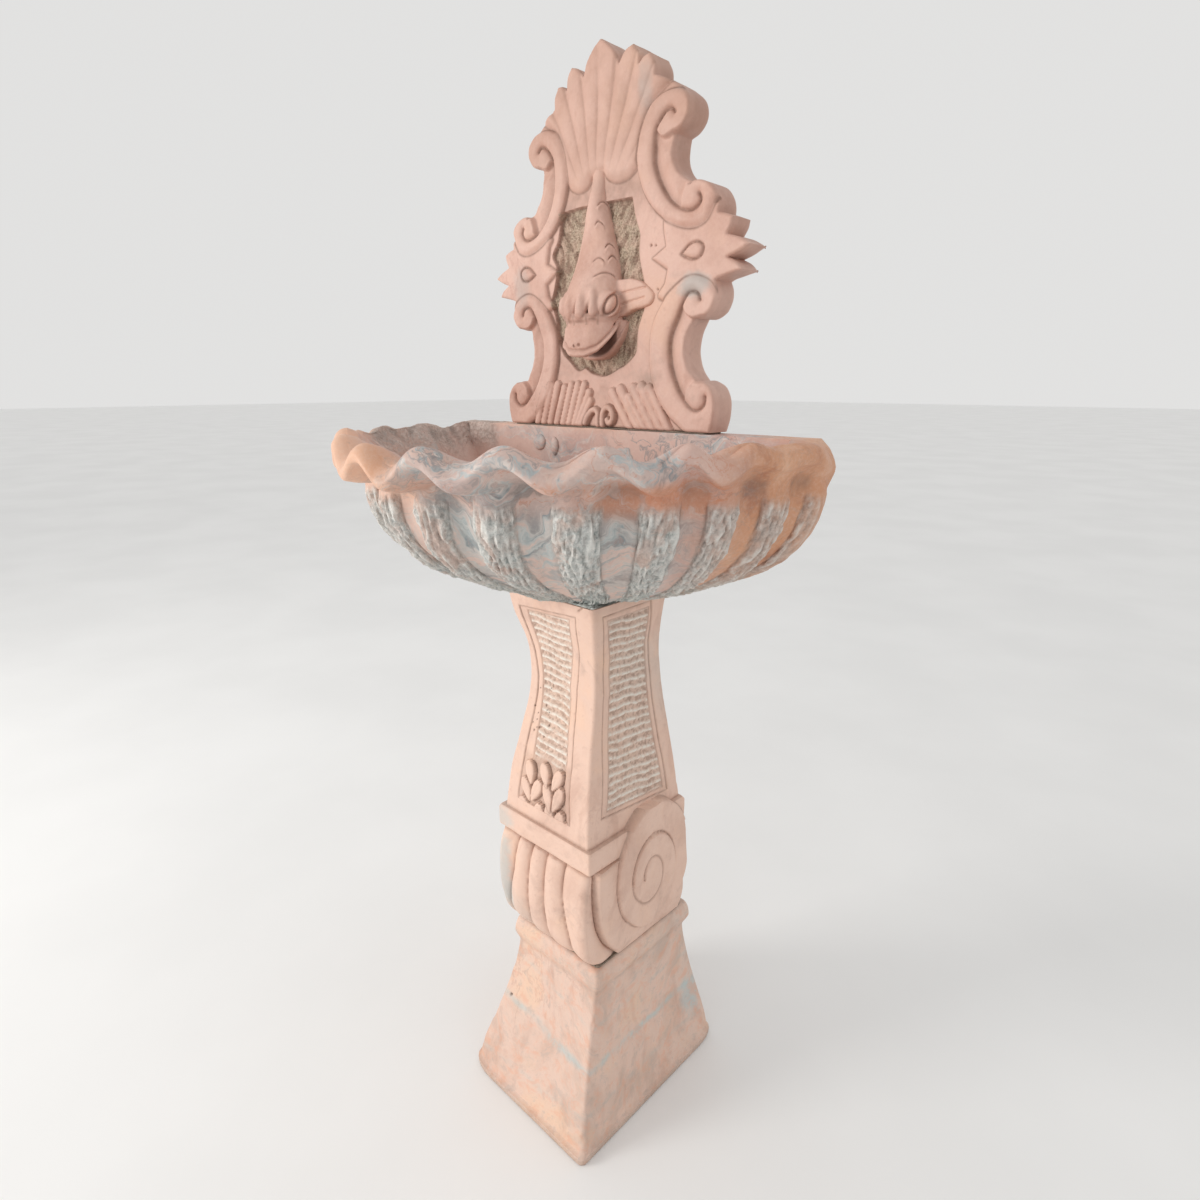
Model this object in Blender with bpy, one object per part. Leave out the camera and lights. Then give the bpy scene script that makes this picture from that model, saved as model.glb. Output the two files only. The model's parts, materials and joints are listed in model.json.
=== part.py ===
"""Carved marble fountain: plinth, scroll column, half-shell basin with a ledge, and a scrolled back panel
with a dolphin mask, with the pins, beds and pipework that such a fountain holds.

Metres, +Z up. The fountain faces -Y. The origin is the centre of the plinth's underside.
"""

import math

import bmesh
import bpy
import numpy as np

# ---------------------------------------------------------------- driving dimensions
GAP = 0.0003  # clearance between touching pieces

PLINTH_HALF_X = 0.1475  # at the ground
PLINTH_HALF_Y = 0.1845
PLINTH_NECK = (0.0967, -0.0985, 0.1376)  # half width, front y, back y, under the collar
PLINTH_NECK_Z = 0.250
PLINTH_CURVE = (1.60, 1.25, 1.15)  # how concave the flare is, sides, front, back
PLINTH_TOP_Z = 0.3000
COLLAR_Z = 0.262
COLLAR = (0.1040, -0.1110, 0.1480)  # half width, front y, back y
PLINTH_CORNER_R = 0.006

BED = 0.0024  # mortar bed
COLUMN_Z0 = PLINTH_TOP_Z + BED + 2 * GAP
SCROLL_TOP_Z = 0.495
BAND_TOP_Z = 0.534
COLUMN_TOP_Z = 0.9135
BAND = (0.1085, -0.1240, 0.1140)
# height, half width, front y, back y
SCROLL_STATIONS = (
    (COLUMN_Z0, 0.0985, -0.0960, 0.1310),
    (0.330, 0.1060, -0.1180, 0.1300),
    (0.370, 0.1100, -0.1290, 0.1260),
    (0.420, 0.1110, -0.1330, 0.1200),
    (0.470, 0.1100, -0.1280, 0.1150),
    (SCROLL_TOP_Z, 0.1080, -0.1200, 0.1130),
)
SHAFT_STATIONS = (
    (BAND_TOP_Z, 0.0975, -0.1160, 0.1105),
    (0.610, 0.0913, -0.1066, 0.1009),
    (0.670, 0.0824, -0.0929, 0.0952),
    (0.760, 0.0740, -0.0745, 0.0830),
    (0.820, 0.0765, -0.0769, 0.0745),
    (0.880, 0.0899, -0.0938, 0.0655),
    (COLUMN_TOP_Z, 0.0935, -0.1002, 0.0703),
)
GADROONS = 5  # round flutes across the scroll's front
GADROON_DEPTH = 0.0065
VOLUTE = (0.020, 0.4265, 0.086, 0.1210, 0.0070)  # centre y, centre z, radii, how proud

BASIN_Z0 = 0.9170
BACK_Y = 0.0535  # flat back of basin and panel
LEDGE_Y = 0.0105  # front of the ledge and of the panel's frame
LEDGE_Z = 1.1530
BOWL_A, BOWL_B = 0.350, 0.385  # half width and depth of the bowl's outside under the lip
BOWL_TOP_Z = 1.105
LIP_A, LIP_B = 0.375, 0.450
LOBES = 12  # ribs, and lobes of the lip, over the half turn
LIP_MID_Z, LIP_WAVE, LIP_THICK = 1.1205, 0.0125, 0.026
RIB_DEPTH = 0.0085
FLOOR_Z = 0.972
FLOOR_A, FLOOR_B = 0.105, 0.118

PANEL_Z0 = 1.1553
PANEL_TOP_Z = 1.650
FIELD_DEPTH = 0.011  # how far the panel's field lies behind its frame

WASTE_Y = -0.030  # axis of the waste and of the core bore
CORE_R = 0.0165
POCKET_R, POCKET_Z = 0.034, 0.870
SPOUT_Z = 1.285
RISER_Y = 0.083  # axis of the supply pipe behind the panel
PIPE_R, PIPE_BORE = 0.0075, 0.0062
VALVE_Z = 1.070

PLINTH_PINS = ((-0.062, 0.050), (0.062, 0.050))
BASIN_PINS = ((-0.064, -0.020), (0.064, -0.020))
PANEL_PINS = ((-0.130, 0.036), (0.130, 0.036))

# ---------------------------------------------------------------- fresh scene
for ob in list(bpy.data.objects):
    bpy.data.objects.remove(ob, do_unlink=True)


def material(name, colour, roughness, metallic=0.0):
    m = bpy.data.materials.new(name)
    m.use_nodes = True
    shader = m.node_tree.nodes["Principled BSDF"]
    shader.inputs["Base Color"].default_value = (*colour, 1.0)
    shader.inputs["Roughness"].default_value = roughness
    shader.inputs["Metallic"].default_value = metallic
    m.diffuse_color = (*colour, 1.0)
    return m


PINK = (0.72, 0.47, 0.37)
BASIN_PINK = (0.62, 0.46, 0.40)
MORTAR = (0.42, 0.38, 0.34)
STEEL = (0.55, 0.56, 0.57)
BRASS = (0.72, 0.53, 0.25)
COPPER = (0.72, 0.40, 0.26)
RUBBER = (0.03, 0.03, 0.03)


def make(name, verts, faces, colour, roughness, metallic=0.0, smooth=True):
    """One named object from points and faces, its faces turned outwards."""
    mesh = bpy.data.meshes.new(name)
    bm = bmesh.new()
    points = [bm.verts.new(tuple(float(c) for c in v)) for v in verts]
    for f in faces:
        bm.faces.new([points[i] for i in f])
    bmesh.ops.recalc_face_normals(bm, faces=bm.faces)
    bm.to_mesh(mesh)
    bm.free()
    ob = bpy.data.objects.new(name, mesh)
    bpy.context.scene.collection.objects.link(ob)
    mesh.materials.append(material(name, colour, roughness, metallic))
    if smooth:
        mesh.shade_smooth()
        mesh.set_sharp_from_angle(angle=math.radians(35))
    return ob


def hide(ob):
    ob.hide_render = True
    ob.display_type = "WIRE"
    return ob


def boolean(ob, other, how="DIFFERENCE"):
    m = ob.modifiers.new(how.lower(), "BOOLEAN")
    m.operation = how
    m.solver = "EXACT"
    m.object = hide(other)


def loft(rings):
    """Points and faces of a solid through closed rings of equal length, with flat ends."""
    n = len(rings[0])
    verts = [p for ring in rings for p in ring]
    faces = [list(range(n))[::-1], [(len(rings) - 1) * n + i for i in range(n)]]
    for j in range(len(rings) - 1):
        for i in range(n):
            k = (i + 1) % n
            faces.append([j * n + i, j * n + k, (j + 1) * n + k, (j + 1) * n + i])
    return verts, faces


def turned(profile, centre, axis="Z", sides=20, closed=False, phase=0.0):
    """A turned solid. profile is (radius, distance along the axis). closed: a ring, whose profile closes on itself."""
    rings = []
    for r, t in profile:
        ring = []
        for i in range(sides):
            a = 2 * math.pi * i / sides + phase
            u, v = r * math.cos(a), r * math.sin(a)
            if axis == "Z":
                ring.append((centre[0] + u, centre[1] + v, centre[2] + t))
            elif axis == "Y":
                ring.append((centre[0] + u, centre[1] + t, centre[2] + v))
            else:
                ring.append((centre[0] + t, centre[1] + u, centre[2] + v))
        rings.append(ring)
    if not closed:
        return loft(rings)
    verts = [p for ring in rings for p in ring]
    m, faces = len(rings), []
    for j in range(m):
        for i in range(sides):
            k = (i + 1) % sides
            a, b = j * sides, ((j + 1) % m) * sides
            faces.append([a + i, a + k, b + k, b + i])
    return verts, faces


def box(low, high):
    x0, y0, z0 = low
    x1, y1, z1 = high
    return loft([[(x0, y0, z), (x1, y0, z), (x1, y1, z), (x0, y1, z)] for z in (z0, z1)])


def cutter(name, shape):
    return hide(make(name, *shape, (0.5, 0.5, 0.5), 0.5, smooth=False))


def drill(ob, name, radius, centre, start, end, axis="Z", sides=20):
    boolean(ob, cutter(name, turned([(radius, start), (radius, end)], centre, axis, sides)))


def stations(table, z):
    """Values between stations, on a smooth curve."""
    t = np.array(table, float)
    zs, vs = t[:, 0], t[:, 1:]
    slope = np.gradient(vs, zs, axis=0)
    j = int(np.clip(np.searchsorted(zs, z) - 1, 0, len(zs) - 2))
    h = zs[j + 1] - zs[j]
    u = (z - zs[j]) / h
    return (
        vs[j] * (2 * u**3 - 3 * u**2 + 1)
        + vs[j + 1] * (3 * u**2 - 2 * u**3)
        + slope[j] * h * (u**3 - 2 * u**2 + u)
        + slope[j + 1] * h * (u**3 - u**2)
    )


# ---------------------------------------------------------------- plinth
def plinth_section(z):
    if z >= COLLAR_Z:
        return COLLAR
    u = max(0.0, 1 - z / PLINTH_NECK_Z)
    x0, y0, y1 = PLINTH_NECK
    return (
        x0 + (PLINTH_HALF_X - x0) * u ** PLINTH_CURVE[0],
        y0 + (-PLINTH_HALF_Y - y0) * u ** PLINTH_CURVE[1],
        y1 + (PLINTH_HALF_Y - y1) * u ** PLINTH_CURVE[2],
    )


def rounded_ring(hx, y0, y1, z, r, steps=2):
    """A rectangle with rounded corners, counter-clockwise from the front right."""
    ring = []
    for cx, cy, a0 in (
        (hx - r, y0 + r, -90),
        (hx - r, y1 - r, 0),
        (-hx + r, y1 - r, 90),
        (-hx + r, y0 + r, 180),
    ):
        for i in range(steps + 1):
            a = math.radians(a0 + 90 * i / steps)
            ring.append((cx + r * math.cos(a), cy + r * math.sin(a), z))
    return ring


def plinth():
    rings = []
    flare = np.linspace(0.0, PLINTH_NECK_Z, 11)
    for z in flare:
        hx, y0, y1 = plinth_section(z)
        rings.append(rounded_ring(hx, y0, y1, z, PLINTH_CORNER_R))
    mid = 0.5 * (COLLAR_Z + PLINTH_TOP_Z)
    half = 0.5 * (PLINTH_TOP_Z - COLLAR_Z)
    for k in range(7):  # the collar's round edge
        a = -math.pi / 2 + math.pi * k / 6
        z = mid + half * math.sin(a)
        inset = 0.006 * (1 - math.cos(a))
        hx, y0, y1 = COLLAR
        rings.append(rounded_ring(hx - inset, y0 + inset, y1 - inset, z, PLINTH_CORNER_R))
    return make("plinth", *loft(rings), PINK, 0.5)


# ---------------------------------------------------------------- column
def column_ring(hx, y0, y1, z, gadroon=0.0, bulge=0.0):
    """A rectangle whose front carries the gadroons, counter-clockwise from the front left."""
    per, ring = 6, []
    n = GADROONS * per
    for i in range(n + 1):
        u = i / n
        x = -hx + 2 * hx * u
        wave = abs(math.sin(math.pi * GADROONS * u)) ** 0.6
        swell = bulge * (1 - (2 * u - 1) ** 2)
        ring.append((x, y0 + gadroon * (1 - wave) - swell, z))
    for i in range(1, 5):
        ring.append((hx, y0 + (y1 - y0) * i / 5, z))
    for i in range(0, 5):
        ring.append((hx - 2 * hx * i / 4, y1, z))
    for i in range(1, 5):
        ring.append((-hx, y1 + (y0 - y1) * i / 5, z))
    return ring


def column():
    rings = []
    scroll = np.linspace(COLUMN_Z0, SCROLL_TOP_Z, 10)
    for z in scroll:
        hx, y0, y1 = stations(SCROLL_STATIONS, z)
        rings.append(column_ring(hx, y0, y1, z, GADROON_DEPTH, 0.002))
    for z, grow in (
        (SCROLL_TOP_Z + 0.0005, -0.002),
        (SCROLL_TOP_Z + 0.004, 0.0),
        (BAND_TOP_Z - 0.004, 0.0),
        (BAND_TOP_Z - 0.0005, -0.002),
    ):
        hx, y0, y1 = BAND
        rings.append(column_ring(hx + grow, y0 - grow, y1 + grow, z))
    for z in np.linspace(BAND_TOP_Z, COLUMN_TOP_Z, 15):
        hx, y0, y1 = stations(SHAFT_STATIONS, z)
        rings.append(column_ring(hx, y0, y1, z))
    ob = make("column", *loft(rings), PINK, 0.5)
    cy, cz, ry, rz, proud = VOLUTE
    for side, word in ((-1, "left"), (1, "right")):
        rings = []
        for x, grow in ((0.080, 0.0), (0.110, 0.0), (0.110 + proud, -0.006)):
            rings.append(
                [
                    (
                        side * x,
                        cy + (ry + grow) * math.cos(2 * math.pi * i / 28),
                        cz + (rz + grow) * math.sin(2 * math.pi * i / 28),
                    )
                    for i in range(28)
                ]
            )
        boolean(ob, cutter("volute_" + word, loft(rings)), "UNION")
    return ob


# ---------------------------------------------------------------- basin
def lobe(theta):
    """+1 on a rib and at the low of a lobe of the lip, -1 in a flute."""
    return math.cos(2 * LOBES * theta - math.pi)


def smooth(u):
    u = min(1.0, max(0.0, u))
    return u * u * (3 - 2 * u)


def bowl_half(u):
    """Half width and depth of the bowl's outside, from its underside (0) to under its lip (1)."""
    return (
        BOWL_A * (0.252 + 0.748 * (1 - (1 - u) ** 2.385) ** 0.713),
        BOWL_B * (0.353 + 0.647 * (1 - (1 - u) ** 2.85) ** 0.948),
    )


def basin_rows(columns):
    """Rows of points from the underside's edge, up the outside, over the lip and down the inside."""
    thetas = [math.pi * i / columns for i in range(columns + 1)]
    rows = []

    def row(a, b, yc, z, rib=0.0, wave=0.0, end_z=None, end_a=None):
        points = []
        for t in thetas:
            w = lobe(t)
            end = smooth(min(t, math.pi - t) / math.radians(7.5))
            k = 1 + (rib * w) / b
            aa = a if end_a is None else end_a + (a - end_a) * end
            zz = z - wave * w
            if end_z is not None:
                zz = end_z + (zz - end_z) * end
            points.append((aa * k * math.cos(t), yc - b * k * math.sin(t), zz))
        rows.append(points)

    for u in (0.0, 0.06, 0.16, 0.32, 0.52, 0.74, 0.92):
        a, b = bowl_half(u)
        row(a, b, BACK_Y, BASIN_Z0 + (BOWL_TOP_Z - BASIN_Z0) * u, RIB_DEPTH * smooth(u / 0.4))
    low = LIP_MID_Z
    row(BOWL_A * 1.005, BOWL_B * 1.01, BACK_Y, BOWL_TOP_Z, 0.004, 0.004, 1.095)
    row(0.366, 0.436, BACK_Y, low, 0.0, LIP_WAVE, 1.108, 0.357)
    row(LIP_A, LIP_B, BACK_Y, low + 0.010, 0.0, LIP_WAVE, 1.118, 0.360)
    row(0.370, 0.443, BACK_Y, low + 0.021, 0.0, LIP_WAVE, 1.140, 0.352)
    row(0.358, 0.430, BACK_Y, low + LIP_THICK, 0.0, LIP_WAVE * 0.9, LEDGE_Z, 0.338)
    row(0.342, 0.364, LEDGE_Y, low + LIP_THICK - 0.002, 0.0, LIP_WAVE * 0.4, LEDGE_Z, 0.322)
    row(0.320, 0.330, LEDGE_Y, 1.1200, 0.005, 0.003)
    row(0.285, 0.288, LEDGE_Y, 1.0700, 0.006)
    row(0.232, 0.236, LEDGE_Y, 1.0200, 0.005)
    row(0.168, 0.176, LEDGE_Y, 0.9860, 0.003)
    row(FLOOR_A, FLOOR_B, LEDGE_Y, FLOOR_Z)
    return rows


def basin():
    columns = LOBES * 4
    rows = basin_rows(columns)
    n = columns + 1
    verts = [p for r in rows for p in r]
    faces = [list(range(n))[::-1], [(len(rows) - 1) * n + i for i in range(n)]]
    for j in range(len(rows) - 1):
        a, b = j * n, (j + 1) * n
        for i in range(columns):
            faces.append([a + i, a + i + 1, b + i + 1, b + i])
        faces.append([a + columns, a, b, b + columns])
    return make("basin", verts, faces, BASIN_PINK, 0.5)


# ---------------------------------------------------------------- back panel
def arc(cx, cz, r, a0, a1, n):
    return [
        (
            cx + r * math.cos(math.radians(a0 + (a1 - a0) * i / n)),
            cz + r * math.sin(math.radians(a0 + (a1 - a0) * i / n)),
        )
        for i in range(n + 1)
    ]


def half_outline():
    """Right half of the panel's outline, from the foot to the apex: scroll ends, hollow waists, star points and the crown's teeth."""
    return (
        [(0.198, PANEL_Z0)]
        + arc(0.177, 1.192, 0.0290, -50, 95, 7)
        + arc(0.205, 1.256, 0.0555, 213, 147, 5)
        + arc(0.172, 1.327, 0.0285, -100, 35, 6)
        + [(0.236, 1.351), (0.214, 1.367), (0.245, 1.379), (0.212, 1.393), (0.219, 1.409)]
        + arc(0.166, 1.431, 0.0270, 0, 95, 5)
        + arc(0.172, 1.492, 0.0545, 212, 160, 4)
        + arc(0.119, 1.543, 0.0250, -80, 80, 6)
        + [(0.087, 1.584), (0.082, 1.607), (0.059, 1.600), (0.053, 1.627), (0.029, 1.617)]
    )


def dolphin_rings():
    """The dolphin, head down: a tail from the shell, a broad brow and a spoon-shaped snout."""
    # height, half width, how far it stands forward of the frame
    spine = (
        (1.490, 0.012, 0.010),
        (1.440, 0.022, 0.018),
        (1.400, 0.035, 0.026),
        (1.360, 0.047, 0.033),
        (1.330, 0.053, 0.038),
        (1.308, 0.048, 0.034),
        (1.295, 0.036, 0.026),
        (1.275, 0.036, 0.030),
        (1.256, 0.022, 0.026),
        (1.252, 0.010, 0.020),
    )
    back = LEDGE_Y + FIELD_DEPTH + 0.006
    rings = []
    for z, half, proud in spine:
        ring = []
        for i in range(12):
            a = 2 * math.pi * i / 12
            y = math.sin(a)
            y = (LEDGE_Y if y < 0 else back) + (proud * y if y < 0 else 0)
            ring.append((half * math.cos(a), y - 0.004 * (math.sin(a) < 0), z))
        rings.append(ring)
    return rings


def panel():
    right = half_outline()
    outline = right + [(0.0, PANEL_TOP_Z)] + [(-x, z) for x, z in right[::-1]]
    bevel = 0.003

    def ring(y, inset):
        cz = 0.5 * (PANEL_Z0 + PANEL_TOP_Z)
        points = []
        for x, z in outline:
            zz = z
            if inset and z > PANEL_Z0:
                zz = z - inset * (1 if z > cz else -0.0)
            points.append((x * (1 - inset / 0.2), y, min(zz, PANEL_TOP_Z)))
        return points

    ob = make(
        "back_panel",
        *loft([ring(LEDGE_Y, bevel), ring(LEDGE_Y + 0.004, 0.0), ring(BACK_Y, 0.0)]),
        PINK,
        0.5,
    )
    field = [
        (-0.070, 1.478),
        (-0.066, 1.440),
        (-0.085, 1.395),
        (-0.095, 1.345),
        (-0.092, 1.300),
        (-0.086, 1.255),
        (-0.040, 1.232),
    ]
    field = field + [(-x, z) for x, z in field[::-1]]
    rings = [[(x, y, z) for x, z in field] for y in (LEDGE_Y - 0.02, LEDGE_Y + FIELD_DEPTH)]
    boolean(ob, cutter("field_cut", loft(rings)))
    verts, faces = loft(dolphin_rings())
    boolean(ob, cutter("dolphin", (verts, faces)), "UNION")
    # the mouth's hollow, behind the snout
    mouth = [
        [(x, y, z) for x, y in ((-0.06, -0.006), (0.06, -0.006), (0.06, 0.008), (-0.06, 0.008))]
        for z in (1.240, 1.294)
    ]
    boolean(ob, cutter("mouth_cut", loft(mouth)))
    return ob


plinth_ob = plinth()
column_ob = column()
basin_ob = basin()
panel_ob = panel()

# core bore for the waste pipe, down through both lower stones
drill(plinth_ob, "plinth_core", CORE_R, (0, WASTE_Y, 0), -0.01, PLINTH_TOP_Z + 0.01)
drill(column_ob, "column_core", CORE_R, (0, WASTE_Y, 0), COLUMN_Z0 - 0.01, POCKET_Z + 0.01)
drill(column_ob, "column_pocket", POCKET_R, (0, WASTE_Y, 0), POCKET_Z, COLUMN_TOP_Z + 0.01, sides=24)
drill(basin_ob, "waste_hole", 0.0176, (0, WASTE_Y, 0), BASIN_Z0 - 0.01, FLOOR_Z + 0.02)
drill(basin_ob, "waste_recess", 0.0285, (0, WASTE_Y, 0), FLOOR_Z - 0.004, FLOOR_Z + 0.02, sides=24)
drill(panel_ob, "spout_bore", PIPE_R + GAP, (0, 0, SPOUT_Z), -0.004, BACK_Y + 0.01, "Y", 16)


# ---------------------------------------------------------------- mortar beds
def bed(name, hx, y0, y1, z, hole=None, depth=BED):
    ob = make(name, *loft([rounded_ring(hx, y0, y1, z + GAP, 0.006), rounded_ring(hx, y0, y1, z + GAP + depth, 0.006)]), MORTAR, 0.9)
    if hole:
        drill(ob, name + "_hole", hole, (0, WASTE_Y, 0), z - 0.01, z + 0.02, sides=24)
    return ob


plinth_bed = bed("plinth_mortar_bed", 0.0960, -0.0930, 0.1280, PLINTH_TOP_Z, CORE_R)
column_bed = bed("column_mortar_bed", 0.0900, -0.0960, BACK_Y - 0.004, COLUMN_TOP_Z, POCKET_R, BASIN_Z0 - COLUMN_TOP_Z - 2 * GAP)
panel_bed = bed("panel_mortar_bed", 0.1940, LEDGE_Y + 0.003, BACK_Y - 0.003, LEDGE_Z, None, PANEL_Z0 - LEDGE_Z - 2 * GAP)


# ---------------------------------------------------------------- steel dowels
def pins(word, spots, radius, z0, z1, stones):
    for (x, y), side in zip(spots, ("left", "right")):
        name = "%s_dowel_%s" % (word, side)
        make(
            name,
            *turned(
                [(radius - 0.0008, z0), (radius, z0 + 0.0008), (radius, z1 - 0.0008), (radius - 0.0008, z1)],
                (x, y, 0),
                sides=14,
            ),
            STEEL,
            0.35,
            1.0,
        )
        for k, stone in enumerate(stones):
            drill(stone, "%s_hole_%d" % (name, k), radius + GAP, (x, y, 0), z0 - 0.001, z1 + 0.001, sides=14)


pins("plinth", PLINTH_PINS, 0.0060, 0.250, 0.352, (plinth_ob, column_ob, plinth_bed))
pins("basin", BASIN_PINS, 0.0060, 0.865, 0.9420, (column_ob, basin_ob, column_bed))
pins("panel", PANEL_PINS, 0.0050, 1.116, 1.192, (basin_ob, panel_ob, panel_bed))

# ---------------------------------------------------------------- waste
seat = FLOOR_Z - 0.004
make(
    "waste_gasket",
    *turned([(0.0178, seat + GAP), (0.0265, seat + GAP), (0.0265, seat + 0.0020), (0.0178, seat + 0.0020)], (0, WASTE_Y, 0), closed=True, sides=24),
    RUBBER,
    0.8,
)
flange_z = seat + 0.0020 + GAP
make(
    "waste_flange",
    *turned(
        [
            (0.0125, 0.8850),
            (0.0165, 0.8850),
            (0.0165, flange_z),
            (0.0275, flange_z),
            (0.0275, flange_z + 0.0022),
            (0.0262, flange_z + 0.0032),
            (0.0150, flange_z + 0.0024),
            (0.0125, flange_z + 0.0010),
        ],
        (0, WASTE_Y, 0),
        closed=True,
        sides=24,
    ),
    BRASS,
    0.3,
    1.0,
)
nut = make("waste_backnut", *turned([(0.0275, 0.9010), (0.0285, 0.9020), (0.0285, 0.9150), (0.0275, BASIN_Z0 - GAP)], (0, WASTE_Y, 0), sides=6), BRASS, 0.35, 1.0, smooth=False)
drill(nut, "backnut_bore", 0.0168, (0, WASTE_Y, 0), 0.89, 0.93, sides=24)
make(
    "waste_pipe",
    *turned([(0.0104, 0.0030), (0.0122, 0.0030), (0.0122, 0.9000), (0.0104, 0.9000)], (0, WASTE_Y, 0), closed=True),
    COPPER,
    0.35,
    1.0,
)
top = flange_z + 0.0032 + GAP
standpipe = make(
    "overflow_standpipe",
    *turned(
        [
            (0.0088, 0.9540 - top),
            (0.0104, 0.9540 - top),
            (0.0118, top - 0.0040 - top),
            (0.0118, 0.0),
            (0.0180, 0.0),
            (0.0180, 0.0040),
            (0.0135, 0.0065),
            (0.0108, 0.0065),
            (0.0108, 1.0880 - top),
            (0.0128, 1.0920 - top),
            (0.0134, 1.0960 - top),
            (0.0122, 1.0980 - top),
            (0.0092, 1.0940 - top),
        ],
        (0, 0, 0),
        closed=True,
    ),
    BRASS,
    0.3,
    1.0,
)
standpipe.location = (0, WASTE_Y, top)

# ---------------------------------------------------------------- supply
make(
    "spout_pipe",
    *turned([(PIPE_BORE, -0.0020), (PIPE_R, -0.0020), (PIPE_R, 0.0750), (PIPE_BORE, 0.0750)], (0, 0, SPOUT_Z), "Y", 16, closed=True),
    COPPER,
    0.35,
    1.0,
)
elbow = make("spout_elbow", *turned([(0.0105, 0.0580), (0.0118, 0.0595), (0.0118, RISER_Y), (0.0095, RISER_Y + 0.0085), (0.0040, RISER_Y + 0.0118)], (0, 0, SPOUT_Z), "Y", 16), BRASS, 0.35, 1.0)
boolean(elbow, cutter("elbow_down", turned([(0.0105, -0.0260), (0.0117, -0.0245), (0.0117, 0.0)], (0, RISER_Y, SPOUT_Z), "Z", 16)), "UNION")
drill(elbow, "elbow_socket_y", PIPE_R + GAP, (0, 0, SPOUT_Z), 0.050, 0.0760, "Y", 16)
drill(elbow, "elbow_way_y", 0.0058, (0, 0, SPOUT_Z), 0.070, RISER_Y + 0.004, "Y", 16)
drill(elbow, "elbow_socket_z", PIPE_R + GAP, (0, RISER_Y, SPOUT_Z), -0.040, -0.0075, "Z", 16)
drill(elbow, "elbow_way_z", 0.0057, (0, RISER_Y, SPOUT_Z), -0.020, 0.004, "Z", 16)

riser_low = VALVE_Z + 0.020
make(
    "supply_riser",
    *turned([(PIPE_BORE, riser_low), (PIPE_R, riser_low), (PIPE_R, SPOUT_Z - 0.0085), (PIPE_BORE, SPOUT_Z - 0.0085)], (0, RISER_Y, 0), "Z", 16, closed=True),
    COPPER,
    0.35,
    1.0,
)

valve = make(
    "stop_valve_body",
    *turned([(0.0115, -0.0330), (0.0125, -0.0320), (0.0125, -0.0200), (0.0150, -0.0120), (0.0150, 0.0120), (0.0125, 0.0200), (0.0125, 0.0320), (0.0115, 0.0330)], (0, RISER_Y, VALVE_Z), "Z", 16),
    BRASS,
    0.35,
    1.0,
)
boolean(valve, cutter("valve_boss", turned([(0.0080, 0.0), (0.0080, 0.0205), (0.0072, 0.0215)], (0, RISER_Y, VALVE_Z), "Y", 16)), "UNION")
drill(valve, "valve_socket_top", PIPE_R + GAP, (0, RISER_Y, VALVE_Z), 0.0190, 0.05, "Z", 16)
drill(valve, "valve_socket_low", PIPE_R + GAP, (0, RISER_Y, VALVE_Z), -0.05, -0.0190, "Z", 16)
drill(valve, "valve_way", 0.0058, (0, RISER_Y, VALVE_Z), -0.03, 0.03, "Z", 16)
ball_r = 0.0092
ball_rings = [(ball_r * math.sin(math.radians(d)), -ball_r * math.cos(math.radians(d))) for d in (20, 45, 70, 90, 110, 135, 160)]
boolean(valve, cutter("valve_chamber", turned([(r * 1.06, t * 1.06) for r, t in ball_rings], (0, RISER_Y, VALVE_Z), "Y", 16)))
drill(valve, "valve_stem_hole", 0.0036, (0, RISER_Y, VALVE_Z), 0.0, 0.03, "Y", 12)

lever_axis = (0.0, RISER_Y, VALVE_Z)
ball = make("stop_valve_ball", *turned(ball_rings, (0, 0, 0), "Y", 16), STEEL, 0.2, 1.0)
ball.location = lever_axis
way = cutter("ball_way", turned([(0.0056, -0.02), (0.0056, 0.02)], lever_axis, "Z", 12))
boolean(ball, way)
stem_start = ball_r * math.cos(math.radians(20)) + GAP
stem = make("stop_valve_stem", *turned([(0.0030, stem_start), (0.0030, 0.0330), (0.0024, 0.0336)], (0, 0, 0), "Y", 12), BRASS, 0.35, 1.0)
stem.location = lever_axis


def lever_shape():
    """A flat lever that hangs along the pipe: a round eye, a waist and a wider grip bent away from the pipe."""
    rings = []
    for z, half, y in ((0.0075, 0.0035, 0.0), (0.0055, 0.0065, 0.0), (0.0, 0.0080, 0.0), (-0.0060, 0.0065, 0.0), (-0.0120, 0.0048, 0.0), (-0.0180, 0.0045, 0.0035), (-0.0260, 0.0055, 0.0050), (-0.0520, 0.0065, 0.0050), (-0.0580, 0.0050, 0.0050), (-0.0600, 0.0025, 0.0050)):
        y0 = 0.0220 + y
        rings.append([(-half, y0, z), (half, y0, z), (half, y0 + 0.0026, z), (-half, y0 + 0.0026, z)])
    return loft(rings)


lever = make("stop_valve_lever", *lever_shape(), (0.45, 0.06, 0.05), 0.45)
lever.location = lever_axis
drill(lever, "lever_eye", 0.0033, lever_axis, 0.015, 0.035, "Y", 12)
lever_nut = make("lever_nut", *turned([(0.0056, 0.0249), (0.0062, 0.0254), (0.0062, 0.0292), (0.0056, 0.0297)], (0, 0, 0), "Y", 6), STEEL, 0.35, 1.0, smooth=False)
lever_nut.location = lever_axis
drill(lever_nut, "lever_nut_bore", 0.0033, lever_axis, 0.015, 0.040, "Y", 12)

low = VALVE_Z - 0.0330
union = make(
    "inlet_union",
    *turned([(0.0098, -0.0540), (0.0104, -0.0534), (0.0104, -0.0370), (0.0098, -0.0364), (0.0098, -0.0300), (0.0160, -0.0296), (0.0165, -0.0286), (0.0165, -0.0140), (0.0155, -0.0130), (0.0096, -0.0126), (0.0096, -0.0005), (PIPE_R, 0.0), (PIPE_R, 0.0130)], (0, RISER_Y, low), "Z", 12),
    BRASS,
    0.35,
    1.0,
)
drill(union, "union_bore", 0.0056, (0, RISER_Y, low), -0.06, 0.02, "Z", 16)
INLET_Z = low - 0.0540

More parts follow.
